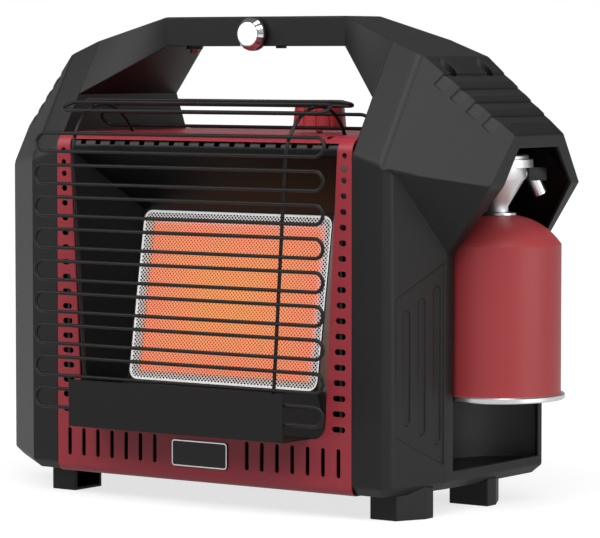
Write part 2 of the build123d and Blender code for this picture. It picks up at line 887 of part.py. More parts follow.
with BuildPart() as control_knob:
    with BuildSketch(Plane.XY.offset(knob_bottom)):
        with Locations((knob_x, knob_y)):
            Circle(knob_base_radius)
    with BuildSketch(Plane.XY.offset(knob_bottom + knob_height)):
        with Locations((knob_x, knob_y)):
            Circle(knob_top_radius)
    loft()
    with Locations((knob_x, knob_y, knob_bottom + knob_height / 2)):
        with PolarLocations((knob_base_radius + knob_top_radius) / 2, knob_flutes):
            Cylinder(
                knob_flute_radius,
                2 * knob_height,
                rotation=(0, -knob_taper, 0),
                mode=Mode.SUBTRACT,
            )
    with BuildSketch(Plane.XY.offset(knob_bottom + knob_height)):
        with Locations((knob_x, knob_y - knob_top_radius / 2)):
            Rectangle(knob_pointer_width, knob_top_radius / 2)
    extrude(amount=-knob_pointer_depth, mode=Mode.SUBTRACT)
    with BuildSketch(Plane.XY.offset(knob_bottom)):
        with Locations((knob_x, knob_y)):
            Circle(stem_radius + running_gap)
        with Locations((knob_x, knob_y + 2 * stem_radius - stem_flat + running_gap)):
            Rectangle(2 * (stem_radius + gap), 2 * stem_radius, mode=Mode.SUBTRACT)
    extrude(amount=knob_bore_depth, mode=Mode.SUBTRACT)
save(control_knob, "control_knob")

with BuildPart() as piezo_igniter:
    with BuildSketch(Plane.XY.offset(valve_top)):
        with Locations((knob_x - valve_width / 2 - piezo_radius - gap, knob_y)):
            Circle(piezo_radius)
    extrude(amount=-piezo_length)
save(piezo_igniter, "piezo_igniter")

with BuildPart() as tip_switch:
    with BuildSketch(Plane.XY.offset(wall_bottom)):
        with Locations((-knob_x, knob_y + valve_depth)):
            Rectangle(switch_box_width, switch_box_depth)
    extrude(amount=switch_box_height)
    fillet(tip_switch.edges().filter_by(Axis.Z), badge_corner)
save(tip_switch, "tip_switch")

# Gas pipes: valve to jet, and regulator to valve
jet_end = burner_plane.from_local_coords(
    (0, 0, -(plenum_back + tube_length + jet_bridge_depth + jet_length))
)
jet_turn = burner_plane.from_local_coords(
    (0, 0, -(plenum_back + tube_length + jet_bridge_depth + jet_length + pipe_run))
)
valve_back = knob_y + valve_depth / 2 + valve_boss
with BuildPart() as gas_pipe:
    with BuildLine():
        FilletPolyline(
            jet_end,
            jet_turn,
            (0, jet_turn.Y, port_z),
            (knob_x, jet_turn.Y, port_z),
            (knob_x, valve_back, port_z),
            radius=pipe_bend,
        )
    with BuildSketch(Plane(jet_end, z_dir=jet_turn - jet_end)):
        Circle(pipe_radius)
    sweep()
save(gas_pipe, "gas_pipe")

valve_side = knob_x + valve_width / 2 + valve_boss
port_x = can_x - reg_port_reach
with BuildPart() as supply_pipe:
    with BuildLine():
        FilletPolyline(
            (port_x, can_y, port_z),
            (valve_side + pipe_run + pipe_bend, can_y, port_z),
            (valve_side + pipe_run, knob_y, port_z),
            (valve_side, knob_y, port_z),
            radius=pipe_bend,
        )
    with BuildSketch(Plane((port_x, can_y, port_z), z_dir=(-1, 0, 0))):
        Circle(pipe_radius)
    sweep()
save(supply_pipe, "supply_pipe")

with BuildPart() as pipe_grommet:
    with BuildSketch(Plane.YZ.offset(wall_x)):
        with Locations((can_y, port_z)):
            Circle(pipe_radius + 2 * grommet_lip)
    extrude(amount=grommet_flange)
    with BuildSketch(Plane.YZ.offset(wall_x)):
        with Locations((can_y, port_z)):
            Circle(pipe_radius + grommet_lip - gap)
    extrude(amount=-(sheet + grommet_flange))
    with BuildSketch(Plane.YZ.offset(wall_x - overrun)):
        with Locations((can_y, port_z)):
            Circle(pipe_radius + running_gap)
    extrude(amount=2 * overrun, mode=Mode.SUBTRACT)
save(pipe_grommet, "pipe_grommet")

# Regulator: body, cap, outlet block and barrel, and the bracket that holds it
can_axis = Axis((can_x, can_y, 0), (0, 0, 1))
can_section = Plane(origin=(can_x, can_y, 0), x_dir=(1, 0, 0), z_dir=(0, -1, 0))
outlet_dir = Vector(cos(radians(outlet_angle)), sin(radians(outlet_angle)), 0)
outlet_foot = Vector(can_x, can_y, block_bottom + block_height / 2)
with BuildPart() as regulator_body:
    with BuildSketch(can_section):
        Polygon(
            (thread_radius + gap, reg_bottom),
            (reg_neck_radius, reg_bottom),
            (reg_neck_radius, reg_cone_bottom),
            (reg_radius, reg_cone_top),
            (reg_radius, reg_flange_bottom),
            (reg_flange_radius, reg_flange_bottom),
            (reg_flange_radius, reg_flange_top),
            (0, reg_flange_top),
            (0, reg_bottom + thread_height + gap),
            (thread_radius + gap, reg_bottom + thread_height + gap),
            align=None,
        )
    revolve(axis=can_axis)
    with BuildSketch(Plane((port_x, can_y, port_z), z_dir=(1, 0, 0))):
        Circle(reg_port_radius)
    extrude(amount=reg_port_reach)
    with BuildSketch(Plane(outlet_foot, z_dir=outlet_dir)):
        Circle(reg_port_radius)
    extrude(amount=outlet_reach)
save(regulator_body, "regulator_body")

with BuildPart() as regulator_cap:
    with BuildSketch(Plane.XY.offset(reg_flange_top)):
        with Locations((can_x, can_y)):
            Circle(reg_cap_radius)
    extrude(amount=reg_cap_height)
    chamfer(regulator_cap.faces().sort_by(Axis.Z)[-1].edges(), edge_share * reg_cap_height)
save(regulator_cap, "regulator_cap")

block_plane = Plane(outlet_foot + outlet_dir * outlet_reach, x_dir=(0, 0, 1), z_dir=outlet_dir)
with BuildPart() as regulator_outlet_block:
    with BuildSketch(block_plane):
        Rectangle(block_height, block_width)
    extrude(amount=block_length)
save(regulator_outlet_block, "regulator_outlet_block")

lean = radians(barrel_lean)
barrel_dir = outlet_dir * sin(lean) - Vector(0, 0, cos(lean))
barrel_top = outlet_foot + outlet_dir * (outlet_reach + barrel_share * block_length)
with BuildPart() as regulator_barrel:
    with BuildSketch(Plane(barrel_top, z_dir=barrel_dir)):
        Circle(barrel_radius)
        Circle(barrel_bore, mode=Mode.SUBTRACT)
    extrude(amount=block_height / 2 + barrel_length)
    split(bisect_by=Plane.XY.offset(block_bottom), keep=Keep.BOTTOM)
save(regulator_barrel, "regulator_barrel")

fork_end = can_x - reg_port_radius
fork_half = reg_flange_radius + bracket_margin
with BuildPart() as regulator_bracket:
    with BuildSketch(Plane.XY.offset(reg_flange_bottom)):
        with Locations(((wall_x + fork_end) / 2, can_y)):
            Rectangle(fork_end - wall_x, 2 * fork_half)
        with Locations((can_x, can_y)):
            Circle(reg_radius + gap, mode=Mode.SUBTRACT)
    extrude(amount=-bracket_plate)
    with BuildSketch(Plane.XY.offset(reg_flange_bottom)):
        with Locations((wall_x + bracket_plate / 2, can_y)):
            Rectangle(bracket_plate, 2 * fork_half)
    extrude(amount=bracket_upstand)
save(regulator_bracket, "regulator_bracket")

# Canister: shell, rolled base and valve cup
with BuildPart() as canister_shell:
    shell_bottom = can_bottom + rim_height
    dome_mid = (can_dome_mid_radius, can_shoulder + can_dome_mid_rise)
    dome_mid_in = (can_dome_mid_radius - can_wall / 2, can_shoulder + can_dome_mid_rise - can_wall)
    with BuildSketch(can_section):
        with BuildLine():
            Polyline(
                (can_radius - can_wall, can_shoulder),
                (can_radius - can_wall, shell_bottom),
                (can_radius, shell_bottom),
                (can_radius, can_shoulder),
            )
            ThreePointArc((can_radius, can_shoulder), dome_mid, (can_neck_radius, can_dome_top))
            Polyline(
                (can_neck_radius, can_dome_top),
                (can_neck_radius - can_wall, can_dome_top),
                (can_neck_radius - can_wall, can_dome_top - can_wall),
            )
            ThreePointArc(
                (can_neck_radius - can_wall, can_dome_top - can_wall),
                dome_mid_in,
                (can_radius - can_wall, can_shoulder),
            )
        make_face()
    revolve(axis=can_axis)
save(canister_shell, "canister_shell")

with BuildPart() as canister_base:
    dish_radius = can_radius - rim_dish
    with BuildSketch(can_section):
        Polygon(
            (0, can_bottom + rim_dish),
            (dish_radius, can_bottom + rim_dish),
            (can_radius - can_wall, can_bottom),
            (rim_radius - can_wall, can_bottom),
            (rim_radius, can_bottom + can_wall),
            (rim_radius, can_bottom + rim_height - can_wall),
            (rim_radius - can_wall, can_bottom + rim_height),
            (can_radius - can_wall, can_bottom + rim_height),
            (dish_radius, can_bottom + rim_dish + can_wall),
            (0, can_bottom + rim_dish + can_wall),
            align=None,
        )
    revolve(axis=can_axis)
save(canister_base, "canister_base")

with BuildPart() as canister_valve_cup:
    with BuildSketch(Plane.XY.offset(collar_bottom)):
        with Locations((can_x, can_y)):
            Circle(collar_radius)
    extrude(amount=collar_height)
    fillet(canister_valve_cup.faces().sort_by(Axis.Z)[-1].edges(), edge_share * collar_height)
    with BuildSketch(Plane.XY.offset(collar_top)):
        with Locations((can_x, can_y)):
            Circle(thread_radius)
    extrude(amount=thread_height)
save(canister_valve_cup, "canister_valve_cup")

# Planes of the side covers, drawn on the right and facing outwards
front_face = Plane(origin=(corner_x, 0, 0), z_dir=(0, -1, 0))
back_face = Plane(origin=(back_corner_x, cover_back, 0), z_dir=(0, 1, 0))
bottom_face = Plane(origin=(0, 0, cover_bottom), z_dir=(0, 0, -1))
inner_face = Plane(origin=(inner_x, 0, 0), z_dir=(-1, 0, 0))
open_top = Plane(origin=(0, 0, case_top - bend_radius), z_dir=(0, 0, 1))
open_back = Plane(origin=(0, liner_y + liner_pass + gap + cover_wall, 0), z_dir=(0, 1, 0))
shoulder_point = (corner_x, 0, corner_z)
front_slope_face = plane_through(
    (inner_x, 0, shoulder_front), shoulder_point, (inner_x, arm_front_y, arm_top)
)
back_slope_face = Plane(
    origin=(0, cover_back, shoulder_back),
    z_dir=(0, arm_top - shoulder_back, cover_back - arm_back_y),
)
arm_slope_face = Plane(
    origin=(inner_x, 0, arm_top), z_dir=(arm_top - hood_bend_z, 0, hood_bend_x - inner_x)
)
hood_slope_face = Plane(
    origin=(hood_bend_x, 0, hood_bend_z),
    z_dir=(hood_bend_z - ridge_z, 0, hood_half_width - hood_bend_x),
)
hood_side_face = Plane(
    origin=(hood_half_width, 0, ridge_z),
    z_dir=(ridge_z - hood_under_z, 0, hood_under_x - hood_half_width),
)
brow_point = (brow_x, plane_y(front_slope_face, brow_x, brow_z), brow_z)
ridge_point = (hood_half_width, ridge_front_y, ridge_z)
neck_point = (neck_x, neck_y, neck_z)
hood_front_facet = plane_through(shoulder_point, ridge_point, brow_point)
under_front_y = plane_y(hood_front_facet, hood_under_x, hood_under_z)
under_point = (hood_under_x, under_front_y, hood_under_z)
hood_lower_facet = plane_through(shoulder_point, neck_point, under_point)
hood_flare = Plane(
    origin=neck_point, z_dir=(hood_under_z - neck_z, 0, neck_x - hood_under_x)
)
back_facet = Plane(
    origin=(back_corner_x, cover_back, 0),
    z_dir=(cover_back - under_back_y, hood_under_x - back_corner_x, 0),
)
hood_back_facet = plane_through(
    (hood_half_width, ridge_back_y, ridge_z),
    (hood_under_x, under_back_y, hood_under_z),
    (hood_bend_x, back_edge(hood_bend_z), hood_bend_z),
)
corner_face = Plane(
    origin=(corner_x, 0, 0), z_dir=(side_front_y, corner_x - side_front_x, 0)
)
side_panel = Plane(
    origin=(side_front_x, side_front_y, 0),
    x_dir=(neck_x - side_front_x, neck_y - side_front_y, 0),
    z_dir=(neck_y - side_front_y, side_front_x - neck_x, 0),
)
neck_face = Plane(origin=(neck_x, neck_y, 0), z_dir=(1, 0, 0))
left_facet = Plane(
    origin=(corner_x, 0, 0), z_dir=(left_facet_y, corner_x - left_half_width, 0)
)
left_side_face = Plane(origin=(left_half_width, left_facet_y, 0), z_dir=(1, 0, 0))

top_faces = [front_slope_face, back_slope_face, arm_slope_face, hood_slope_face]
hood_faces = top_faces + [
    hood_side_face,
    hood_front_facet,
    hood_lower_facet,
    hood_flare,
    hood_back_facet,
    back_facet,
    front_face,
    back_face,
]
neck_sides = [front_face, corner_face, side_panel, neck_face, back_facet, back_face]
neck_faces = top_faces + neck_sides + [bottom_face, hood_front_facet, hood_back_facet]
neck_faces += [bevel_plane(face) for face in neck_sides]
left_sides = [front_face, left_facet, left_side_face, back_facet, back_face]
left_faces = top_faces + left_sides + [bottom_face, hood_front_facet, hood_back_facet]
left_faces += [bevel_plane(face) for face in left_sides]

# Pillars for the hood screws stand in both covers
screw_places = [(hood_screw_x, hood_screw_front_y), (hood_screw_x, hood_screw_back_y)]
with BuildPart() as hood_pillars:
    with BuildSketch(Plane.XY.offset(hood_pillar_bottom)):
        with Locations(*screw_places):
            Circle(hood_screw_hole + hood_pillar_wall)
    extrude(amount=bar_top - hood_pillar_bottom)

# Places of the grooves and small recesses on the hood slope
slope_run = Vector(hood_half_width - hood_bend_x, 0, ridge_z - hood_bend_z)
edge_start_y = plane_y(hood_front_facet, hood_bend_x, hood_bend_z)
edge_start = Vector(hood_bend_x, edge_start_y, hood_bend_z)
edge_run = Vector(*ridge_point) - edge_start


def step_cutter(start, reach):
    """Wedge with a steep upper wall that cuts one step, as long as its reach."""
    with BuildPart() as cutter:
        with BuildSketch(start):
            Polygon(
                (0, gap), (0, -groove_depth), (groove_width, 0), (groove_width, gap), align=None
            )
        extrude(amount=reach)
    return cutter.part


def groove_cutter(share):
    """Step across the hood slope."""
    spot = Vector(hood_bend_x, cover_back, hood_bend_z) + slope_run * share
    return step_cutter(Plane(spot, x_dir=slope_run, z_dir=(0, -1, 0)), cover_back)


def recess_cutter(share):
    """Short step beside the front edge of the hood, in line with one on the slope."""
    inward = edge_run.cross(hood_front_facet.z_dir)
    spot = edge_start + edge_run * share
    return step_cutter(Plane(spot, x_dir=edge_run, z_dir=inward), recess_reach)


with BuildPart() as hood_cuts:
    for groove_share in groove_shares:
        add(groove_cutter(groove_share))
        add(recess_cutter(groove_share))
    with BuildSketch(Plane.XY.offset(hood_screw_seat)):
        with Locations(*screw_places):
            Circle(hood_screw_hole)
    extrude(amount=bar_top - hood_screw_seat)
    with BuildSketch(Plane.XY.offset(hood_screw_seat)):
        with Locations(*screw_places):
            Circle(screw_shank_radius + gap)
    extrude(amount=-(screw_shank_length + gap))

# Right cover: hood over a necked lower part, with the canister bay open to the side
neck_block = trimmed_block(neck_faces + [inner_face], 0)
neck_room = trimmed_block(neck_faces + [open_top, open_back], cover_wall)
neck_top_room = trimmed_block(neck_faces + [inner_face], cover_wall)
hood_block = trimmed_block(hood_faces + [inner_face], 0)
hood_room = trimmed_block(hood_faces + [inner_face], cover_wall)
with BuildPart() as right_room:
    add(neck_top_room)
    add(hood_room)
    add(hood_pillars.part, mode=Mode.SUBTRACT)
with BuildPart() as right_outer:
    add(neck_block)
    add(hood_block)
with BuildPart() as right_cover:
    add(right_outer.part)
    add(right_room.part, mode=Mode.SUBTRACT)
    add(neck_room, mode=Mode.SUBTRACT)
    with BuildSketch(Plane.YZ.offset(inner_x + 2 * cover_wall)):
        Polygon(
            (bay_front, bay_bottom),
            (bay_back, bay_bottom),
            (bay_back, neck_z),
            (under_back_y - bay_back_border, hood_under_z),
            (ridge_back_y - bay_top_corner, ridge_z - bay_top_border),
            (ridge_front_y + bay_top_corner, ridge_z - bay_top_border),
            (under_front_y + bay_front_border, hood_under_z),
            (bay_front, neck_z),
            align=None,
        )
    extrude(amount=hood_half_width - inner_x, mode=Mode.SUBTRACT)
    add(hood_cuts.part, mode=Mode.SUBTRACT)
    panel_length = (Vector(neck_x, neck_y) - Vector(side_front_x, side_front_y)).length
    with BuildSketch(side_panel):
        Polygon(
            (panel_recess_margin, panel_recess_low),
            (panel_length - panel_recess_margin, panel_recess_low - panel_recess_flare),
            (panel_length - panel_recess_margin, panel_recess_high + panel_recess_flare),
            (panel_recess_margin, panel_recess_high),
            align=None,
        )
    extrude(amount=-panel_recess_depth, mode=Mode.SUBTRACT)
    with BuildSketch(side_panel.offset(-panel_recess_depth)):
        for number, share in enumerate(panel_groove_shares):
            low = panel_groove_low - number * panel_groove_step
            high = panel_groove_high + number * panel_groove_step
            with Locations((share * panel_length, (low + high) / 2)):
                SlotOverall(high - low, panel_groove_width, rotation=90)
    extrude(amount=-panel_groove_depth, mode=Mode.SUBTRACT)
save(right_cover, "right_cover")

# Left cover: the same hood, full width down to the floor
left_block = trimmed_block(left_faces + [inner_face], 0)
left_room = trimmed_block(left_faces + [open_top, open_back], cover_wall)
left_top_room = trimmed_block(left_faces + [inner_face], cover_wall)
with BuildPart() as left_upper_room:
    add(left_top_room)
    add(hood_pillars.part, mode=Mode.SUBTRACT)
with BuildPart() as left_outer:
    add(left_block)
    mirror(about=Plane.YZ, mode=Mode.REPLACE)
with BuildPart() as left_cover:
    add(left_block)
    add(left_upper_room.part, mode=Mode.SUBTRACT)
    add(left_room, mode=Mode.SUBTRACT)
    add(hood_cuts.part, mode=Mode.SUBTRACT)
    mirror(about=Plane.YZ, mode=Mode.REPLACE)
save(left_cover, "left_cover")

with BuildPart() as hood_screws:
    for sign in (-1, 1):
        for place_x, place_y in screw_places:
            with BuildSketch(Plane.XY.offset(hood_screw_seat)):
                with Locations((sign * place_x, place_y)):
                    Circle(screw_head_radius)
            extrude(amount=screw_head_height)
            with BuildSketch(Plane.XY.offset(hood_screw_seat + screw_head_height)):
                with Locations((sign * place_x, place_y)):
                    Rectangle(screw_head_radius, screw_slot_width)
                    Rectangle(screw_slot_width, screw_head_radius)
            extrude(amount=-screw_slot_depth, mode=Mode.SUBTRACT)
            with BuildSketch(Plane.XY.offset(hood_screw_seat)):
                with Locations((sign * place_x, place_y)):
                    Circle(screw_shank_radius)
            extrude(amount=-screw_shank_length)
save(hood_screws, "hood_screws")

# Liner of the canister bay: an arched wall between the posts, with a floor
liner_foot = cover_bottom + cover_bevel + cover_wall
floor_top = cover_bottom + liner_floor
with BuildPart() as bay_liner:
    with BuildSketch(Plane.XY.offset(liner_foot)):
        with Locations((liner_x, liner_y)):
            Circle(liner_outer)
            Circle(liner_radius, mode=Mode.SUBTRACT)
        with Locations((liner_face + block_size / 2, liner_y)):
            Rectangle(block_size, block_size, mode=Mode.SUBTRACT)
    extrude(amount=liner_top - liner_foot)
    with BuildSketch(Plane.XY.offset(floor_top)):
        with Locations((liner_x, liner_y)):
            Circle(liner_outer)
        with Locations((liner_face + block_size / 2, liner_y)):
            Rectangle(block_size, block_size, mode=Mode.SUBTRACT)
    extrude(amount=-liner_wall)
    for face in (back_slope_face, hood_back_facet):
        split(bisect_by=face.offset(-(cover_wall + gap)), keep=Keep.BOTTOM)
save(bay_liner, "bay_liner")

# Feet under the covers
foot_front_corner = foot_front_x - inner_x
with BuildPart() as feet:
    foot_inner = inner_x + foot_inner_margin
    foot_outer = neck_x - cover_wall / 2 - foot_side_inset
    front_outline = (
        (foot_inner, foot_front_y),
        (foot_front_x, foot_front_y),
        (foot_outer, foot_front_y + foot_diagonal),
        (foot_outer, foot_front_y + foot_front_depth),
        (foot_inner, foot_front_y + foot_front_depth),
    )
    rear_outline = (
        (foot_inner, foot_rear_y),
        (foot_outer, foot_rear_y),
        (foot_outer, foot_rear_y + foot_rear_depth - foot_diagonal),
        (foot_front_x, foot_rear_y + foot_rear_depth),
        (foot_inner, foot_rear_y + foot_rear_depth),
    )
    for outline in (front_outline, rear_outline):
        with BuildSketch():
            Polygon(*outline, align=None)
        extrude(amount=cover_bottom + cover_bevel)
    for low_y, depth in ((foot_front_y, foot_front_depth), (foot_rear_y, foot_rear_depth)):
        with BuildSketch(Plane.YZ.offset(foot_inner - overrun)):
            with Locations((low_y + depth / 2, cover_bottom / 2)):
                Rectangle(depth - 2 * foot_wall, cover_bottom - 2 * foot_wall)
        extrude(amount=overrun + foot_front_corner - foot_wall, mode=Mode.SUBTRACT)
    mirror(about=Plane.YZ)
    add(right_outer.part, mode=Mode.SUBTRACT)
    add(left_outer.part, mode=Mode.SUBTRACT)
save(feet, "feet")

# Handle: a bar with two arms that meet the covers, hollow, open below for its underside plate


def handle_block(inset):
    """Bar and both arms of the handle, with every wall moved in by inset."""
    with BuildPart() as block:
        with BuildSketch(Plane.YZ.offset(bar_half)) as bar_end:
            Polygon(
                (bar_front, bar_bottom), (bar_back, bar_bottom), (bar_back, bar_top),
                (bar_front, bar_top), align=None,
            )
            if inset:
                offset(amount=-inset, mode=Mode.REPLACE, kind=Kind.INTERSECTION)
        with BuildSketch(Plane.YZ.offset(arm_end)):
            Polygon(
                (front_edge(arm_bottom), arm_bottom), (back_edge(arm_bottom), arm_bottom),
                (back_edge(arm_top), arm_top), (front_edge(arm_top), arm_top), align=None,
            )
            if inset:
                offset(amount=-inset, mode=Mode.REPLACE, kind=Kind.INTERSECTION)
        loft(ruled=True)
        mirror(about=Plane.YZ)
        with BuildSketch(Plane.YZ.offset(-bar_half)):
            Polygon(
                (bar_front + inset, bar_bottom + inset), (bar_back - inset, bar_bottom + inset),
                (bar_back - inset, bar_top - inset), (bar_front + inset, bar_top - inset), align=None,
            )
        extrude(amount=2 * bar_half)
    return block.part


handle_outer = handle_block(0)
handle_room = handle_block(handle_wall)
underside_front = bar_front + handle_wall
underside_back = bar_back - handle_wall
underside_mid = (underside_front + underside_back) / 2
lamp_plane = Plane(origin=(0, bar_front, lamp_z), x_dir=(1, 0, 0), z_dir=(0, -1, 0))
with BuildPart() as handle_shell:
    add(handle_outer)
    add(handle_room, mode=Mode.SUBTRACT)
    with BuildSketch(Plane.XY.offset(bar_bottom - overrun)):
        with Locations((0, underside_mid)):
            Rectangle(2 * bar_half, underside_back - underside_front)
    extrude(amount=overrun + 2 * handle_wall, mode=Mode.SUBTRACT)
    with BuildSketch(lamp_plane):
        Circle(lamp_stem_radius + gap)
    extrude(amount=-2 * handle_wall, mode=Mode.SUBTRACT)
save(handle_shell, "handle_shell")

hinge_z = bar_bottom + door_thickness / 2
door_low_x = door_x - door_length / 2
door_room = door_back - door_front + door_thickness + 2 * gap
with BuildPart() as handle_underside:
    with BuildSketch(Plane.XY.offset(bar_bottom)):
        with Locations((0, underside_mid)):
            Rectangle(2 * (bar_half - gap), underside_back - underside_front - 2 * gap)
        with Locations((door_x, (door_front + door_back) / 2)):
            Rectangle(door_length + 2 * gap, door_room, mode=Mode.SUBTRACT)
        with Locations((switch_x, switch_y)):
            Circle(switch_body_radius + gap, mode=Mode.SUBTRACT)
    extrude(amount=handle_wall)
    with BuildSketch(Plane.XY.offset(bar_bottom + handle_wall)):
        for end in (-1, 1):
            with Locations(
                (
                    door_x + end * (cell_length / 2 + cell_nub_length + gap + tray_wall / 2),
                    (door_front + door_back) / 2,
                )
            ):
                Rectangle(tray_wall, door_room + 2 * tray_lap)
    extrude(amount=tray_height)
    with BuildSketch(Plane.YZ.offset(door_low_x - door_pin_length - gap)):
        with Locations((door_back, hinge_z)):
            Circle(door_pin_radius + running_gap)
    extrude(amount=door_length + 2 * (door_pin_length + gap), mode=Mode.SUBTRACT)
save(handle_underside, "handle_underside")

with BuildPart() as battery_door:
    with BuildSketch(Plane.XY.offset(bar_bottom)):
        with Locations((door_x, (door_front + door_back) / 2)):
            Rectangle(door_length, door_back - door_front)
    extrude(amount=door_thickness)
    with BuildSketch(Plane.YZ.offset(door_low_x)):
        with Locations((door_back, hinge_z)):
            Circle(door_thickness / 2)
    extrude(amount=door_length)
    with BuildSketch(Plane.YZ.offset(door_low_x - door_pin_length)):
        with Locations((door_back, hinge_z)):
            Circle(door_pin_radius)
    extrude(amount=door_length + 2 * door_pin_length)
    with BuildSketch(Plane.XY.offset(bar_bottom)):
        with Locations((door_x, (door_front + door_back) / 2)):
            with GridLocations(door_length / (door_rib_count + 1), 0, door_rib_count, 1):
                Rectangle(door_rib_width, (door_back - door_front) / 2)
    extrude(amount=door_rib_depth, mode=Mode.SUBTRACT)
    with BuildSketch(Plane.XY.offset(bar_bottom)):
        with Locations((door_x, door_front + door_tab_depth / 2)):
            Rectangle(door_tab_width, door_tab_depth)
    extrude(amount=-door_tab_height)
save(battery_door, "battery_door")

with BuildPart() as battery_cells:
    cell_z = bar_bottom + handle_wall + gap + cell_radius
    for number in range(cell_count):
        cell_y = (door_front + door_back) / 2 + (number - (cell_count - 1) / 2) * cell_pitch
        with BuildSketch(Plane.YZ.offset(door_x - cell_length / 2)):
            with Locations((cell_y, cell_z)):
                Circle(cell_radius)
        extrude(amount=cell_length)
        with BuildSketch(Plane.YZ.offset(door_x + cell_length / 2)):
            with Locations((cell_y, cell_z)):
                Circle(cell_nub_radius)
        extrude(amount=cell_nub_length)
save(battery_cells, "battery_cells")

# Lamp on the front of the bar, and the push switch under it
with BuildPart() as lamp_base:
    with BuildSketch(lamp_plane):
        Circle(lamp_base_radius)
    extrude(amount=lamp_base_depth)
    with BuildSketch(lamp_plane):
        Circle(lamp_stem_radius)
    extrude(amount=-lamp_stem_depth)
save(lamp_base, "lamp_base")

lamp_front = lamp_plane.offset(lamp_base_depth)
lamp_axis = Axis((0, bar_front, lamp_z), (0, -1, 0))
lamp_section = Plane(origin=lamp_front.origin, x_dir=(1, 0, 0), z_dir=(0, 0, 1))
with BuildPart() as lamp_bezel:
    with BuildSketch(lamp_section):
        Polygon(
            (lamp_lens_radius + gap, 0),
            (lamp_bezel_radius, 0),
            (lamp_bezel_radius, -lamp_bezel_rim_share * lamp_bezel_depth),
            (lamp_bezel_front_radius, -lamp_bezel_depth),
            (lamp_lens_radius + gap, -lamp_bezel_depth),
            align=None,
        )
    revolve(axis=lamp_axis)
save(lamp_bezel, "lamp_bezel")

with BuildPart() as lamp_lens:
    with BuildSketch(lamp_front):
        Circle(lamp_lens_radius)
    extrude(amount=lamp_bezel_depth + lamp_lens_proud)
    fillet(lamp_lens.faces().sort_by(Axis.Y)[0].edges(), lamp_lens_proud)
    with BuildSketch(lamp_front):
        Circle(lamp_lens_radius - lamp_lens_wall)
    extrude(amount=lamp_bezel_depth - lamp_lens_wall, mode=Mode.SUBTRACT)
save(lamp_lens, "lamp_lens")

with BuildPart() as lamp_board:
    with BuildSketch(lamp_front):
        Circle(lamp_board_radius)
    extrude(amount=lamp_board_thickness)
save(lamp_board, "lamp_board")

with BuildPart() as lamp_switch_body:
    with BuildSketch(Plane.XY.offset(bar_bottom)):
        with Locations((switch_x, switch_y)):
            Circle(switch_collar_radius)
    extrude(amount=-switch_collar_height)
    with BuildSketch(Plane.XY.offset(bar_bottom)):
        with Locations((switch_x, switch_y)):
            Circle(switch_body_radius)
    extrude(amount=switch_body_height)
    with BuildSketch(Plane.XY.offset(bar_bottom - switch_collar_height)):
        with Locations((switch_x, switch_y)):
            Circle(button_radius + running_gap)
    extrude(amount=switch_collar_height + switch_body_height - sheet, mode=Mode.SUBTRACT)
save(lamp_switch_body, "lamp_switch_body")

with BuildPart() as lamp_switch_button:
    with BuildSketch(Plane.XY.offset(bar_bottom - button_drop)):
        with Locations((switch_x, switch_y)):
            Circle(button_radius)
    extrude(amount=button_drop + button_rise)
    fillet(lamp_switch_button.faces().sort_by(Axis.Z)[0].edges(), edge_share * button_radius)
save(lamp_switch_button, "lamp_switch_button")

# Wire guard: loops, uprights that arch over the top plate, and the plate low on the front


def loop_wire(plane, half):
    """One stadium-shaped wire loop on a plane."""
    end = half - loop_height / 2
    with BuildPart() as loop:
        with BuildLine(plane):
            Line((-end, loop_height / 2), (end, loop_height / 2))
            CenterArc((end, 0), loop_height / 2, 90, -180)
            Line((end, -loop_height / 2), (-end, -loop_height / 2))
            CenterArc((-end, 0), loop_height / 2, -90, -180)
        start = plane.from_local_coords((-end, loop_height / 2, 0))
        with BuildSketch(Plane(start, z_dir=plane.x_dir)):
            Circle(wire / 2)
        sweep()
    return loop.part


with BuildPart() as guard_loops:
    for number in range(loop_count):
        loop_origin = (0, guard_front, loop_high - number * loop_pitch)
        add(loop_wire(Plane(loop_origin, x_dir=(1, 0, 0), z_dir=(0, -1, 0)), loop_half))
    for number, angle in enumerate(arch_angles):
        out = Vector(0, cos(radians(angle)), sin(radians(angle)))
        centre = Vector(0, arch_y, arch_z) + out * (arch_radius + wire + weld_gap)
        half_length = loop_half * arch_half_shares[number]
        add(loop_wire(Plane(centre, x_dir=(1, 0, 0), z_dir=out), half_length))
save(guard_loops, "guard_loops")

with BuildPart() as guard_uprights:
    add(upright_wire(wire / 2))
    mirror(about=Plane.YZ)
save(guard_uprights, "guard_uprights")

with BuildPart() as guard_plate:
    with BuildSketch(Plane.XZ.offset(-plate_front)):
        with Locations((0, (plate_bottom + plate_top) / 2)):
            Rectangle(2 * plate_half, plate_top - plate_bottom)
    extrude(amount=-sheet)
    with BuildSketch(Plane.XY.offset(plate_bottom)):
        with Locations((0, (plate_front + plate_hook) / 2)):
            Rectangle(2 * plate_half, plate_hook - plate_front)
    extrude(amount=sheet)
save(guard_plate, "guard_plate")
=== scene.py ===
"""Looks of a portable gas heater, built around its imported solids."""

import json
import math

import bmesh
import bpy
from mathutils import Matrix, Vector


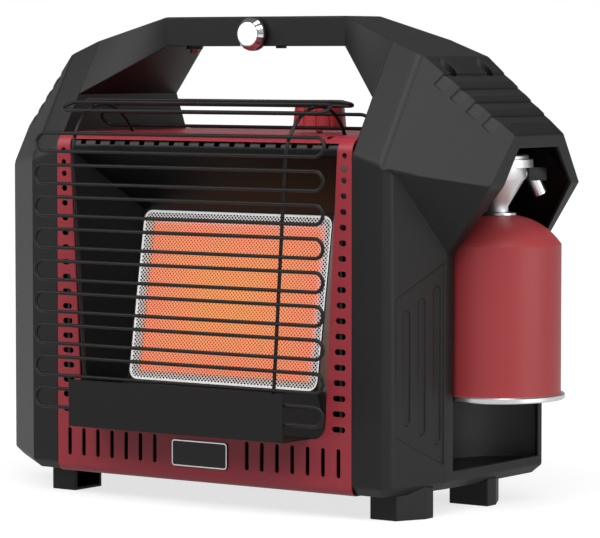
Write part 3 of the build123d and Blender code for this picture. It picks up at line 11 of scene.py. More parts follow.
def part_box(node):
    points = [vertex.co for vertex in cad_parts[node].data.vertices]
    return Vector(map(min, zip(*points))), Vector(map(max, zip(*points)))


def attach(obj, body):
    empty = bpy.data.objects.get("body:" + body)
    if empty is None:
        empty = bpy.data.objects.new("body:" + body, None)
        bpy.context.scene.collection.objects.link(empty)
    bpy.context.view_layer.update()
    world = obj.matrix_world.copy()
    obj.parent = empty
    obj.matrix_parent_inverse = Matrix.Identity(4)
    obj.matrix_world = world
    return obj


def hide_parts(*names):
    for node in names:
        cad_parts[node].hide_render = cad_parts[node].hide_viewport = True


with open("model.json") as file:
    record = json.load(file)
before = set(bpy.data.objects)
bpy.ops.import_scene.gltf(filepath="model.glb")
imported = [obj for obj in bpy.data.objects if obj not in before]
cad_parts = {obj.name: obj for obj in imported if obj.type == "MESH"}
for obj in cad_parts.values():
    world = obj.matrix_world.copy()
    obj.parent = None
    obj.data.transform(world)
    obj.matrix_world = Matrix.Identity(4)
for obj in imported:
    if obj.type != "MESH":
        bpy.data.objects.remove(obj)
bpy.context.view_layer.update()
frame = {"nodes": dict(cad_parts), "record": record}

bl_info = {
    "name": "Portable gas heater",
    "version": (1, 0, 0),
    "blender": (4, 5, 0),
    "location": "3D View > Sidebar > Heater",
    "description": "Builds the looks of a portable gas heater around its solids",
    "category": "Object",
}

ROOT_BODY = "heater"
MERGE_DISTANCE = 1e-6
QUARTER_TURN = math.pi / 2

# Angles between faces, which say what is flat and which edges are blended, rounded or kept crisp
FLAT_ANGLE = math.radians(0.4)
SHALLOW_EDGE = math.radians(12)
STEEP_EDGE = math.radians(40)
RIGHT_EDGE = math.radians(110)
SMALL_PIECE_EDGE = math.radians(25)
KNOB_EDGE = math.radians(50)
FACET_ANGLE = math.radians(4)
ROUND_ANGLE = math.radians(32)

# Room that an edge needs to be rounded, in metres or as a share of the rounding's width
SHORTEST_EDGE = 0.002
BLEND_LENGTH_SHARE = 4.0
ROOM_SHARE = 3.0

# How near to a seam an edge counts as part of it, and the gap beside a reflector
SEAM_REACH = 0.0009
FLANGE_GAP = 0.0001

# How finely round stretches are divided, and the cells that the mesh has to spare
ROUND_SEGMENTS = 3
BLEND_SEGMENTS = 6
HEM_SEGMENTS = 8
BEND_STEPS = 8
SPARE_CELLS = 2

# Fine grain and softened edges of the materials
EDGE_SAMPLES = 6
GRAIN_DETAIL = 3.0
GRAIN_DEPTH = 0.0003

# Glow of the burner, by the distance from its middle as a share of the plaques' reach
GLOW_CORNER_SHARE = 0.1
GLOW_MIDDLE_SHARES = (0.15, 1.0)
GLOW_EDGE_SHARES = (0.93, 1.03)

# The photograph's view: where the camera stands, what it looks at, and its lens
CAMERA_PLACE = (1.74636, -2.415945, 0.39668)
CAMERA_TARGET = (0.10326, -0.099625, 0.21353)
CAMERA_LENS_MM = 199.97
CAMERA_SENSOR_MM = 36.0

# Soft lamps: name, place and size in metres, and power in watts
LAMPS = (
    ("Overhead softbox", (0.5, -1.5, 1.9), (4.2, 1.5), 60.0),
    ("Left softbox", (-2.0, -1.4, 1.6), (1.6, 1.6), 18.0),
    ("Top strip", (0.4, 0.1, 2.2), (3.0, 0.5), 14.0),
    ("Right softbox", (2.8, 0.2, 0.7), (2.0, 2.0), 33.0),
)
LAMP_TARGET = (0.0, 0.0, 0.2)

# Floor: its size, its colour, and the distances over which it fades and how white it is there
FLOOR_SIZE = 40.0
FLOOR_GREY = (0.38, 0.38, 0.38)
FLOOR_FADE = (0.5, 2.2)
FLOOR_WHITENESS = (0.74, 1.0)

# Studio: its own light, and the rise and depth of the directions that reflections see as white
WHITE = (1.0, 1.0, 1.0)
STUDIO_LIGHT = 0.14
BACKDROP_RISES = (0.05, 0.25)
BACKDROP_DEPTHS = (-0.1, 0.3)
MIRRORED_SHARE = 0.5


class HeaterSizes(bpy.types.PropertyGroup):
    """Sizes that a user would change, in metres and radians."""

    cover_edge: bpy.props.FloatProperty(
        name="Cover edge", description="Softening of the covers' other edges in the render",
        default=0.0018, unit="LENGTH",
    )
    cover_blend: bpy.props.FloatProperty(
        name="Cover blend", description="Rounding of the shallow edges of the covers",
        default=0.0034, unit="LENGTH",
    )
    cover_round: bpy.props.FloatProperty(
        name="Cover round", description="Rounding of the steep edges of the covers",
        default=0.0014, unit="LENGTH",
    )
    hood_bend: bpy.props.FloatProperty(
        name="Hood bend", description="Distance from the middle to the bend over each hood",
        default=0.1935, unit="LENGTH",
    )
    small_edge: bpy.props.FloatProperty(
        name="Small edge", description="Rounding of small pieces and of painted and cast edges",
        default=0.0006, unit="LENGTH",
    )
    bottom_bend: bpy.props.FloatProperty(
        name="Bottom bend", description="Bend along the bottom of the casing front",
        default=0.008, unit="LENGTH",
    )
    mesh_pitch: bpy.props.FloatProperty(
        name="Mesh pitch", description="Distance between diamonds of the burner mesh",
        default=0.0036, unit="LENGTH",
    )
    mesh_strand: bpy.props.FloatProperty(
        name="Mesh strand", description="Half the width of one strand of the burner mesh",
        default=0.00032, unit="LENGTH",
    )
    hem_half_width: bpy.props.FloatProperty(
        name="Hem half width", description="Half the width of the hem round the mesh",
        default=0.1034, unit="LENGTH",
    )
    hem_half_height: bpy.props.FloatProperty(
        name="Hem half height", description="Half the height of the hem round the mesh",
        default=0.0764, unit="LENGTH",
    )
    hem_corner: bpy.props.FloatProperty(
        name="Hem corner", description="Rounding of the hem's corners",
        default=0.0089, unit="LENGTH",
    )
    hem_width: bpy.props.FloatProperty(
        name="Hem width", description="Width of the hem",
        default=0.0019, unit="LENGTH",
    )
    hem_height: bpy.props.FloatProperty(
        name="Hem height", description="Height of the hem over the mesh",
        default=0.0005, unit="LENGTH",
    )
    border_height: bpy.props.FloatProperty(
        name="Border height", description="Height of the badge's bright border",
        default=0.0001, unit="LENGTH",
    )
    burner_tilt: bpy.props.FloatProperty(
        name="Burner tilt", description="How far the burner leans back",
        default=math.radians(9.3), unit="ROTATION",
    )
    mesh_thickness: bpy.props.FloatProperty(
        name="Mesh thickness", description="Thickness of the burner mesh",
        default=0.0004, unit="LENGTH",
    )


class HeaterColours(bpy.types.PropertyGroup):
    """Colours that a user would change."""

    casing_red: bpy.props.FloatVectorProperty(
        name="Casing red", description="Paint of the casing", subtype="COLOR",
        default=(0.36, 0.031, 0.046),
    )
    canister_red: bpy.props.FloatVectorProperty(
        name="Canister red", description="Paint of the canister", subtype="COLOR",
        default=(0.38, 0.045, 0.050),
    )
    knob_red: bpy.props.FloatVectorProperty(
        name="Knob red", description="Plastic of the knob", subtype="COLOR",
        default=(0.38, 0.035, 0.042),
    )
    cover_black: bpy.props.FloatVectorProperty(
        name="Cover black", description="Plastic of the covers and the handle", subtype="COLOR",
        default=(0.005, 0.005, 0.005),
    )
    enamel_black: bpy.props.FloatVectorProperty(
        name="Enamel black", description="Paint of reflectors and guard", subtype="COLOR",
        default=(0.005, 0.005, 0.005),
    )
    ceramic: bpy.props.FloatVectorProperty(
        name="Ceramic", description="Ceramic of the plaques under their glow", subtype="COLOR",
        default=(0.05, 0.02, 0.015),
    )
    glow: bpy.props.FloatVectorProperty(
        name="Glow", description="Glow at the edge of the plaques", subtype="COLOR",
        default=(0.66, 0.045, 0.014),
    )
    glow_middle: bpy.props.FloatVectorProperty(
        name="Glow in the middle", description="Glow in the middle of the plaques", subtype="COLOR",
        default=(0.66, 0.090, 0.010),
    )
    # Painted light: the burner's light on the mesh strands, as an orange tint and glow over the
    # plaques and a pale glow on the border
    mesh_painted_tint: bpy.props.FloatVectorProperty(
        name="Painted light on the mesh", description="Orange of the burner's light painted on the mesh over the plaques", subtype="COLOR",
        default=(0.40, 0.20, 0.12),
    )
    mesh_painted_glow: bpy.props.FloatVectorProperty(
        name="Painted mesh glow", description="Painted light of the burner on the mesh at the edge of the plaques",
        subtype="COLOR", default=(0.58, 0.26, 0.15),
    )
    mesh_painted_glow_middle: bpy.props.FloatVectorProperty(
        name="Painted mesh glow in the middle", description="Painted light of the burner on the mesh in the middle of the plaques",
        subtype="COLOR", default=(0.58, 0.31, 0.11),
    )
    mesh_shine: bpy.props.FloatVectorProperty(
        name="Mesh shine", description="Light of the burner on the border of the mesh",
        subtype="COLOR", default=(0.25, 0.23, 0.22),
    )
    hem_white: bpy.props.FloatVectorProperty(
        name="Hem white", description="Bright metal of the hem round the mesh", subtype="COLOR",
        default=(0.88, 0.88, 0.88),
    )
    hem_shine: bpy.props.FloatVectorProperty(
        name="Hem shine", description="Light of the burner on the hem", subtype="COLOR",
        default=(1.0, 0.98, 0.96),
    )
    silver: bpy.props.FloatVectorProperty(
        name="Silver", description="Bright metal", subtype="COLOR", default=(0.80, 0.80, 0.81),
    )
    dull_silver: bpy.props.FloatVectorProperty(
        name="Dull silver", description="Dull metal of screws and burner brackets",
        subtype="COLOR", default=(0.30, 0.30, 0.31),
    )
    chrome: bpy.props.FloatVectorProperty(
        name="Chrome", description="Bright ring of the lamp", subtype="COLOR",
        default=(0.85, 0.85, 0.86),
    )
    lens_white: bpy.props.FloatVectorProperty(
        name="Lens white", description="Lens of the lamp", subtype="COLOR",
        default=(0.92, 0.92, 0.92),
    )
    rivet_grey: bpy.props.FloatVectorProperty(
        name="Rivet grey", description="Rivet in the casing front", subtype="COLOR",
        default=(0.055, 0.062, 0.060),
    )


def sizes():
    """The sizes in use."""
    return bpy.context.scene.heater_sizes


def colours():
    """The colours in use."""
    return bpy.context.scene.heater_colours


# Nodes


def operation_node(tree, kind, operation):
    """A node of that kind, set to an operation."""
    node = tree.nodes.new(kind)
    node.operation = operation
    return node


def map_range(tree, taken, given=(0.0, 1.0)):
    """A node that maps one range of values to another."""
    node = tree.nodes.new("ShaderNodeMapRange")
    for socket, value in zip(("From Min", "From Max", "To Min", "To Max"), (*taken, *given)):
        node.inputs[socket].default_value = value
    return node


def mixed_colour(tree, factor, first, second):
    """A mix of two colours by a socket."""
    mix = tree.nodes.new("ShaderNodeMix")
    mix.data_type = "RGBA"
    tree.links.new(factor, mix.inputs["Factor"])
    for socket, colour in (("A", first), ("B", second)):
        entry = next(i for i in mix.inputs if i.name == socket and i.type == "RGBA")
        if isinstance(colour, bpy.types.NodeSocket):
            tree.links.new(colour, entry)
        else:
            entry.default_value = (*colour, 1.0)
    return next(o for o in mix.outputs if o.type == "RGBA")


def new_group(name, takes, gives):
    """A new node group with its sockets, and its nodes for what it takes and gives."""
    group = bpy.data.node_groups.new(name, "ShaderNodeTree")
    for sockets, way in ((takes, "INPUT"), (gives, "OUTPUT")):
        for socket, kind in sockets.items():
            group.interface.new_socket(socket, in_out=way, socket_type="NodeSocket" + kind)
    return group, group.nodes.new("NodeGroupInput"), group.nodes.new("NodeGroupOutput")


def grain_group():
    """Node group: softened edges and a fine moulded grain as a normal."""
    name = "Fine grain"
    if name in bpy.data.node_groups:
        return bpy.data.node_groups[name]
    takes = {"Scale": "Float", "Strength": "Float", "Edge": "Float"}
    group, ends_in, ends_out = new_group(name, takes, {"Normal": "Vector"})
    nodes, links = group.nodes, group.links
    place = nodes.new("ShaderNodeTexCoord")
    noise = nodes.new("ShaderNodeTexNoise")
    bump = nodes.new("ShaderNodeBump")
    soft = nodes.new("ShaderNodeBevel")
    soft.samples = EDGE_SAMPLES
    noise.inputs["Detail"].default_value = GRAIN_DETAIL
    bump.inputs["Distance"].default_value = GRAIN_DEPTH
    links.new(place.outputs["Object"], noise.inputs["Vector"])
    links.new(ends_in.outputs["Scale"], noise.inputs["Scale"])
    links.new(ends_in.outputs["Strength"], bump.inputs["Strength"])
    links.new(ends_in.outputs["Edge"], soft.inputs["Radius"])
    links.new(soft.outputs["Normal"], bump.inputs["Normal"])
    links.new(noise.outputs["Fac"], bump.inputs["Height"])
    links.new(bump.outputs["Normal"], ends_out.inputs["Normal"])
    return group


def glow_group():
    """Node group: how near a spot is to the burner's middle, and whether it is over a plaque."""
    name = "Glow field"
    if name in bpy.data.node_groups:
        return bpy.data.node_groups[name]
    takes = {"Centre": "Vector", "Reach": "Vector"}
    group, ends_in, ends_out = new_group(name, takes, {"Middle": "Float", "Mask": "Float"})
    links = group.links
    place = group.nodes.new("ShaderNodeTexCoord")
    away = operation_node(group, "ShaderNodeVectorMath", "SUBTRACT")
    share = operation_node(group, "ShaderNodeVectorMath", "DIVIDE")
    size = operation_node(group, "ShaderNodeVectorMath", "ABSOLUTE")
    parts = group.nodes.new("ShaderNodeSeparateXYZ")
    far = operation_node(group, "ShaderNodeMath", "SMOOTH_MAX")
    far.inputs[2].default_value = GLOW_CORNER_SHARE
    middle = map_range(group, GLOW_MIDDLE_SHARES, (1.0, 0.0))
    mask = map_range(group, GLOW_EDGE_SHARES, (1.0, 0.0))
    middle.interpolation_type = mask.interpolation_type = "SMOOTHSTEP"
    links.new(place.outputs["Object"], away.inputs[0])
    links.new(ends_in.outputs["Centre"], away.inputs[1])
    links.new(away.outputs["Vector"], share.inputs[0])
    links.new(ends_in.outputs["Reach"], share.inputs[1])
    links.new(share.outputs["Vector"], size.inputs[0])
    links.new(size.outputs["Vector"], parts.inputs["Vector"])
    links.new(parts.outputs["X"], far.inputs[0])
    links.new(parts.outputs["Z"], far.inputs[1])
    links.new(far.outputs["Value"], middle.inputs["Value"])
    links.new(far.outputs["Value"], mask.inputs["Value"])
    links.new(middle.outputs["Result"], ends_out.inputs["Middle"])
    links.new(mask.outputs["Result"], ends_out.inputs["Mask"])
    return group


def glow_field(tree):
    """The glow field over both plaques, as a node of a material."""
    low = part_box("ceramic_plaque_left")[0]
    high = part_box("ceramic_plaque_right")[1]
    field = tree.nodes.new("ShaderNodeGroup")
    field.node_tree = glow_group()
    field.inputs["Centre"].default_value = (low + high) / 2
    field.inputs["Reach"].default_value = (high - low) / 2
    return field


# Materials


def plain(name, colour, roughness, metallic=0.0, specular=0.5):
    """A material with one Principled shader and constants on its own sockets."""
    if name in bpy.data.materials:
        return bpy.data.materials[name]
    material = bpy.data.materials.new(name)
    material.use_nodes = True
    shader = material.node_tree.nodes["Principled BSDF"]
    shader.inputs["Base Color"].default_value = (*colour, 1.0)
    shader.inputs["Roughness"].default_value = roughness
    shader.inputs["Metallic"].default_value = metallic
    shader.inputs["Specular IOR Level"].default_value = specular
    return material


def grained(name, colour, roughness, scale, strength, edge, metallic=0.0, specular=0.5):
    """A plain material with soft edges and the fine grain on its normal."""
    known = name in bpy.data.materials
    material = plain(name, colour, roughness, metallic, specular)
    if known:
        return material
    tree = material.node_tree
    grain = tree.nodes.new("ShaderNodeGroup")
    grain.node_tree = grain_group()
    grain.inputs["Scale"].default_value = scale
    grain.inputs["Strength"].default_value = strength
    grain.inputs["Edge"].default_value = edge
    tree.links.new(grain.outputs["Normal"], tree.nodes["Principled BSDF"].inputs["Normal"])
    return material


def lit(material, colour, strength):
    """The material, with a light of its own in one colour."""
    shader = material.node_tree.nodes["Principled BSDF"]
    shader.inputs["Emission Color"].default_value = (*colour, 1.0)
    shader.inputs["Emission Strength"].default_value = strength
    return material


def cover_plastic():
    """Moulded plastic of the covers, the handle and the feet."""
    return grained(
        "Black cover plastic", colours().cover_black, roughness=0.48, scale=2600.0, strength=0.25,
        edge=sizes().cover_edge, specular=0.38,
    )


def small_plastic():
    """Plastic of the small black pieces."""
    return plain("Black small plastic", colours().cover_black, roughness=0.42, specular=0.35)


def casing_paint():
    """Paint of the casing."""
    return grained(
        "Red casing paint", colours().casing_red, roughness=0.36, scale=1500.0, strength=0.05,
        edge=sizes().small_edge, specular=0.4,
    )


def canister_paint():
    """Paint of the canister."""
    return plain("Red canister paint", colours().canister_red, roughness=0.42, specular=0.4)


def knob_plastic():
    """Plastic of the knob and of the switch's button."""
    return plain("Red knob plastic", colours().knob_red, roughness=0.28)


def enamel():
    """Black enamel of the inner sheets, the burner's frame and the badge plate."""
    return plain("Black enamel", colours().enamel_black, roughness=0.25, specular=0.35)


def reflector_black():
    """Black coating of the reflectors."""
    return plain("Black reflector", colours().enamel_black, roughness=0.3, specular=0.16)


def guard_coating():
    """Black coating of the guard's wire."""
    return plain("Black guard coating", colours().enamel_black, roughness=0.38, specular=0.30)


def guard_sheet():
    """Black coating of the guard's plate."""
    return plain("Black guard sheet", colours().cover_black, roughness=0.50, specular=0.30)


def rivet_grey():
    """Grey of the rivet."""
    return plain("Rivet grey", colours().rivet_grey, roughness=0.5)


def bright_steel():
    """Bright steel of the canister's fittings and the badge's border."""
    return plain("Bright steel", colours().silver, roughness=0.28, metallic=1.0)


def dull_steel():
    """Dull steel of the screws and of the burner's back."""
    return plain("Dull steel", colours().dull_silver, roughness=0.45, metallic=1.0)


def cast_metal():
    """Cast metal of the regulator."""
    return grained(
        "Cast aluminium", colours().silver, roughness=0.40, scale=1800.0, strength=0.08,
        edge=sizes().small_edge, metallic=0.85,
    )


def polished_chrome():
    """Chrome of the lamp's ring."""
    return plain("Polished chrome", colours().chrome, roughness=0.10, metallic=1.0)


def lens_plastic():
    """White lens of the lamp, faintly lit."""
    lens = plain("White lens", colours().lens_white, roughness=0.2)
    return lit(lens, WHITE, strength=0.5)


def bright_edge():
    """Bright hem of the mesh, lit by the burner."""
    hem = plain("Bright mesh edge", colours().hem_white, roughness=0.5)
    return lit(hem, colours().hem_shine, strength=0.3)


def mesh_steel():
    """Bright mesh with the burner's light painted on: tinted orange and glowing where it lies over
    a plaque, and glowing pale on its border.
    """
    name = "Mesh steel"
    known = name in bpy.data.materials
    material = plain(name, colours().silver, roughness=0.5, metallic=0.2)
    if known:
        return material
    tree = material.node_tree
    shader = tree.nodes["Principled BSDF"]
    field = glow_field(tree)
    # Painted light of the burner: the strands are tinted orange over the plaques
    base = mixed_colour(tree, field.outputs["Mask"], colours().silver, colours().mesh_painted_tint)
    # Painted light of the burner as a glow: orange over the plaques, pale on the border
    painted_glow_colour = mixed_colour(
        tree, field.outputs["Middle"], colours().mesh_painted_glow, colours().mesh_painted_glow_middle
    )
    glow = mixed_colour(tree, field.outputs["Mask"], colours().mesh_shine, painted_glow_colour)
    tree.links.new(base, shader.inputs["Base Color"])
    tree.links.new(glow, shader.inputs["Emission Color"])
    shader.inputs["Emission Strength"].default_value = 1.0
    return material


def glowing_ceramic():
    """Ceramic that glows, yellower towards the middle of the burner."""
    name = "Glowing ceramic"
    known = name in bpy.data.materials
    material = plain(name, colours().ceramic, roughness=0.9, specular=0.1)
    if known:
        return material
    tree = material.node_tree
    shader = tree.nodes["Principled BSDF"]
    field = glow_field(tree)
    glow = mixed_colour(tree, field.outputs["Middle"], colours().glow, colours().glow_middle)
    tree.links.new(glow, shader.inputs["Emission Color"])
    shader.inputs["Emission Strength"].default_value = 1.0
    return material


# Shapes


def merged_copy(node):
    """A bmesh of a solid's own mesh, with its loose triangles joined up."""
    bm = bmesh.new()
    bm.from_mesh(frame["nodes"][node].data)
    bmesh.ops.remove_doubles(bm, verts=bm.verts, dist=MERGE_DISTANCE)
    return bm


def flat_faces_joined(bm):
    """Join the triangles of each flat face."""
    bmesh.ops.dissolve_limit(
        bm, angle_limit=FLAT_ANGLE, verts=bm.verts, edges=bm.edges, use_dissolve_boundaries=False
    )


def cut_away(bm, place, direction):
    """Cut off what lies beyond a plane, and give the edges of the cut."""
    cut = bmesh.ops.bisect_plane(
        bm, geom=bm.verts[:] + bm.edges[:] + bm.faces[:], plane_co=place, plane_no=direction,
        clear_outer=True,
    )["geom_cut"]
    return [part for part in cut if isinstance(part, bmesh.types.BMEdge)]


def edges_to_round(bm, low, high, length, seams=(), room=0.0):
    """Outward edges between two angles, long enough, with wide faces, and off the seams' X."""
    chosen = []
    for edge in bm.edges:
        span = edge.calc_length()
        if len(edge.link_faces) != 2 or not edge.is_convex or span < length:
            continue
        if min(face.calc_area() for face in edge.link_faces) < room * span:
            continue
        on_seam = any(all(abs(v.co.x - x) < SEAM_REACH for v in edge.verts) for x in seams)
        if low <= edge.calc_face_angle() <= high and not on_seam:
            chosen.append(edge)
    return chosen


def near_edge(face, edge, reach):
    """Whether another corner of a face lies near an edge of it."""
    first, second = (v.co for v in edge.verts)
    along = second - first
    for vert in face.verts:
        if vert in edge.verts:
            continue
        share = min(1.0, max(0.0, (vert.co - first).dot(along) / along.length_squared))
        if (vert.co - first - share * along).length < reach:
            return True
    return False


def clear_edges(edges, reach):
    """Those edges with no short edge at their ends and no other corner near them."""
    chosen = []
    for edge in edges:
        ends = [other for v in edge.verts for other in v.link_edges if other is not edge]
        if any(other.calc_length() < reach for other in ends):
            continue
        if not any(near_edge(face, edge, reach) for face in edge.link_faces):
            chosen.append(edge)
    return chosen


def round_edges(bm, edges, width, segments=ROUND_SEGMENTS, clamp=True):
    """Round the given edges."""
    bmesh.ops.bevel(
        bm, geom=edges, offset=width, offset_type="OFFSET", affect="EDGES", segments=segments,
        profile=0.5, clamp_overlap=clamp, material=-1,
    )


def shade_by_angle(mesh, angle):
    """Smooth faces, with edges sharper than the angle kept crisp."""
    bm = bmesh.new()
    bm.from_mesh(mesh)
    for face in bm.faces:
        face.smooth = True
    for edge in bm.edges:
        edge.smooth = len(edge.link_faces) == 2 and edge.calc_face_angle() < angle
    bm.to_mesh(mesh)
    bm.free()


# Pieces


def body_of(node):
    """The body that a node belongs to."""
    for body, members in frame["record"]["behaviour"]["bodies"].items():
        if node in members:
            return body
    raise ValueError(f"no body for {node}")


def linked(name, data):
    """A new object in the scene."""
    thing = bpy.data.objects.new(name, data)
    bpy.context.scene.collection.objects.link(thing)
    return thing


def place_piece(bm, name, body, material, nodes=(), angle=ROUND_ANGLE):
    """Make an object of a bmesh, which rides on a body and stands for solids."""
    mesh = bpy.data.meshes.new(name)
    bm.to_mesh(mesh)
    bm.free()
    shade_by_angle(mesh, angle)
    piece = linked(name, mesh)
    mesh.materials.clear()
    mesh.materials.append(material)
    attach(piece, body)
    if nodes:
        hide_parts(*nodes)


def stand_in(bm, node, material, angle=ROUND_ANGLE):
    """Place a bmesh as the piece that is shown for one solid."""
    place_piece(bm, "shown_" + node, body_of(node), material, [node], angle)


def smooth_piece(node, material, width=0.0, low=SMALL_PIECE_EDGE, angle=ROUND_ANGLE):
    """A smooth copy of a solid, with its sharp edges rounded where a width is given."""
    bm = merged_copy(node)
    if width:
        flat_faces_joined(bm)
        round_edges(bm, edges_to_round(bm, low, RIGHT_EDGE, SHORTEST_EDGE), width)
    stand_in(bm, node, material, angle)


def faceted_piece(node, material, seams):
    """A copy of a faceted solid, with shallow front edges blended and clear steep ones rounded."""
    bm = merged_copy(node)
    flat_faces_joined(bm)
    low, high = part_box(node)
    middle = (low.y + high.y) / 2
    blend = sizes().cover_blend
    shallow = edges_to_round(
        bm, SHALLOW_EDGE, STEEP_EDGE, BLEND_LENGTH_SHARE * blend, seams, room=blend
    )
    front = [edge for edge in shallow if max(v.co.y for v in edge.verts) < middle]
    round_edges(bm, front, blend, BLEND_SEGMENTS, clamp=False)
    width = sizes().cover_round
    steep = edges_to_round(bm, STEEP_EDGE, RIGHT_EDGE, ROOM_SHARE * width, seams)
    round_edges(bm, clear_edges(steep, ROOM_SHARE * width), width, clamp=False)
    stand_in(bm, node, material, FACET_ANGLE)


def paint(node, material):
    """Give a solid that is shown as it is a material."""
    mesh = frame["nodes"][node].data
    mesh.materials.clear()
    mesh.materials.append(material)


# Operators


class HEATER_OT_covers(bpy.types.Operator):
    """Side covers, handle and feet in black plastic, with the hood screws"""

    bl_idname = "heater.covers"
    bl_label = "Covers and handle"

    def execute(self, context):
        handle_low, handle_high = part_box("handle_shell")
        seams = [handle_low.x, handle_high.x]
        middle = (handle_low.x + handle_high.x) / 2
        bend = sizes().hood_bend
        faceted_piece("left_cover", cover_plastic(), [*seams, middle - bend])
        faceted_piece("right_cover", cover_plastic(), [*seams, middle + bend])
        faceted_piece("handle_shell", cover_plastic(), seams)
        smooth_piece("feet", cover_plastic(), sizes().small_edge, angle=FACET_ANGLE)
        smooth_piece("bay_liner", cover_plastic())
        for node in ("handle_underside", "battery_door", "lamp_base", "lamp_switch_body"):
            smooth_piece(node, small_plastic())
        smooth_piece("hood_screws", dull_steel())
        return {"FINISHED"}


class HEATER_OT_casing(bpy.types.Operator):
    """Red casing with its badge plate, rivet, vent lip, reflectors and inner sheets"""

    bl_idname = "heater.casing"
    bl_label = "Casing"

    def execute(self, context):
        self.bottom_bend()
        smooth_piece("badge_plate", enamel())
        self.badge_border()
        smooth_piece("panel_rivet", rivet_grey())
        for node in (
            "upper_reflector", "lower_reflector", "side_reflector_left", "side_reflector_right"
        ):
            paint(node, reflector_black())
        smooth_piece("vent_lip", enamel())
        self.wall_flange("left")
        self.wall_flange("right")
        for node in ("rear_panel", "side_wall_left", "side_wall_right"):
            paint(node, enamel())
        return {"FINISHED"}

    def bottom_bend(self):
        """Casing front that bends back along its bottom edge to meet the base pan."""
        radius = sizes().bottom_bend
        low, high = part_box("front_panel")
        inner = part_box("base_pan")[0].y
        bend = Vector((0, low.y + radius, low.z + radius))
        for node, beyond, material in (
            ("front_panel", Vector((0, 0, -1)), casing_paint()),
            ("base_pan", Vector((0, -1, 0)), enamel()),
        ):
            bm = merged_copy(node)
            bmesh.ops.holes_fill(bm, edges=cut_away(bm, bend, beyond))
            stand_in(bm, node, material)
        bm = bmesh.new()
        corners = ((low.x, low.y), (high.x, low.y), (high.x, inner), (low.x, inner))
        start = bm.faces.new([bm.verts.new((x, y, bend.z)) for x, y in corners])
        bmesh.ops.spin(
            bm, geom=[start, *start.edges, *start.verts], cent=bend, axis=(1, 0, 0),
            angle=QUARTER_TURN, steps=BEND_STEPS,
        )
        bmesh.ops.recalc_face_normals(bm, faces=bm.faces)
        place_piece(bm, "bottom_bend", ROOT_BODY, casing_paint())

    def wall_flange(self, side):
        """Flange from an inner wall and the reflector's edge to the back of the casing front."""
        wall = "side_wall_" + side
        wall_low, wall_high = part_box(wall)
        sheet_low, sheet_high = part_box("side_reflector_" + side)
        low = Vector((wall_low.x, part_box("base_pan")[0].y, sheet_low.z))
        high = Vector((wall_high.x, wall_low.y, sheet_high.z))
        if side == "left":
            high.x = sheet_low.x - FLANGE_GAP
        else:
            low.x = sheet_high.x + FLANGE_GAP
        bm = bmesh.new()
        bmesh.ops.create_cube(bm, size=1.0)
        bmesh.ops.scale(bm, vec=high - low, verts=bm.verts)
        bmesh.ops.translate(bm, vec=(low + high) / 2, verts=bm.verts)
        place_piece(bm, "wall_flange_" + side, ROOT_BODY, enamel())

    def badge_border(self):
        """Bright border on the raised rim of the badge plate."""
        bm = merged_copy("badge_plate")
        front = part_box("badge_plate")[0].y
        others = [f for f in bm.faces if abs(f.calc_center_median().y - front) > MERGE_DISTANCE]
        bmesh.ops.delete(bm, geom=others, context="FACES")
        bmesh.ops.solidify(bm, geom=bm.faces[:], thickness=-sizes().border_height)
        bmesh.ops.recalc_face_normals(bm, faces=bm.faces)
        place_piece(bm, "badge_border", ROOT_BODY, bright_steel())


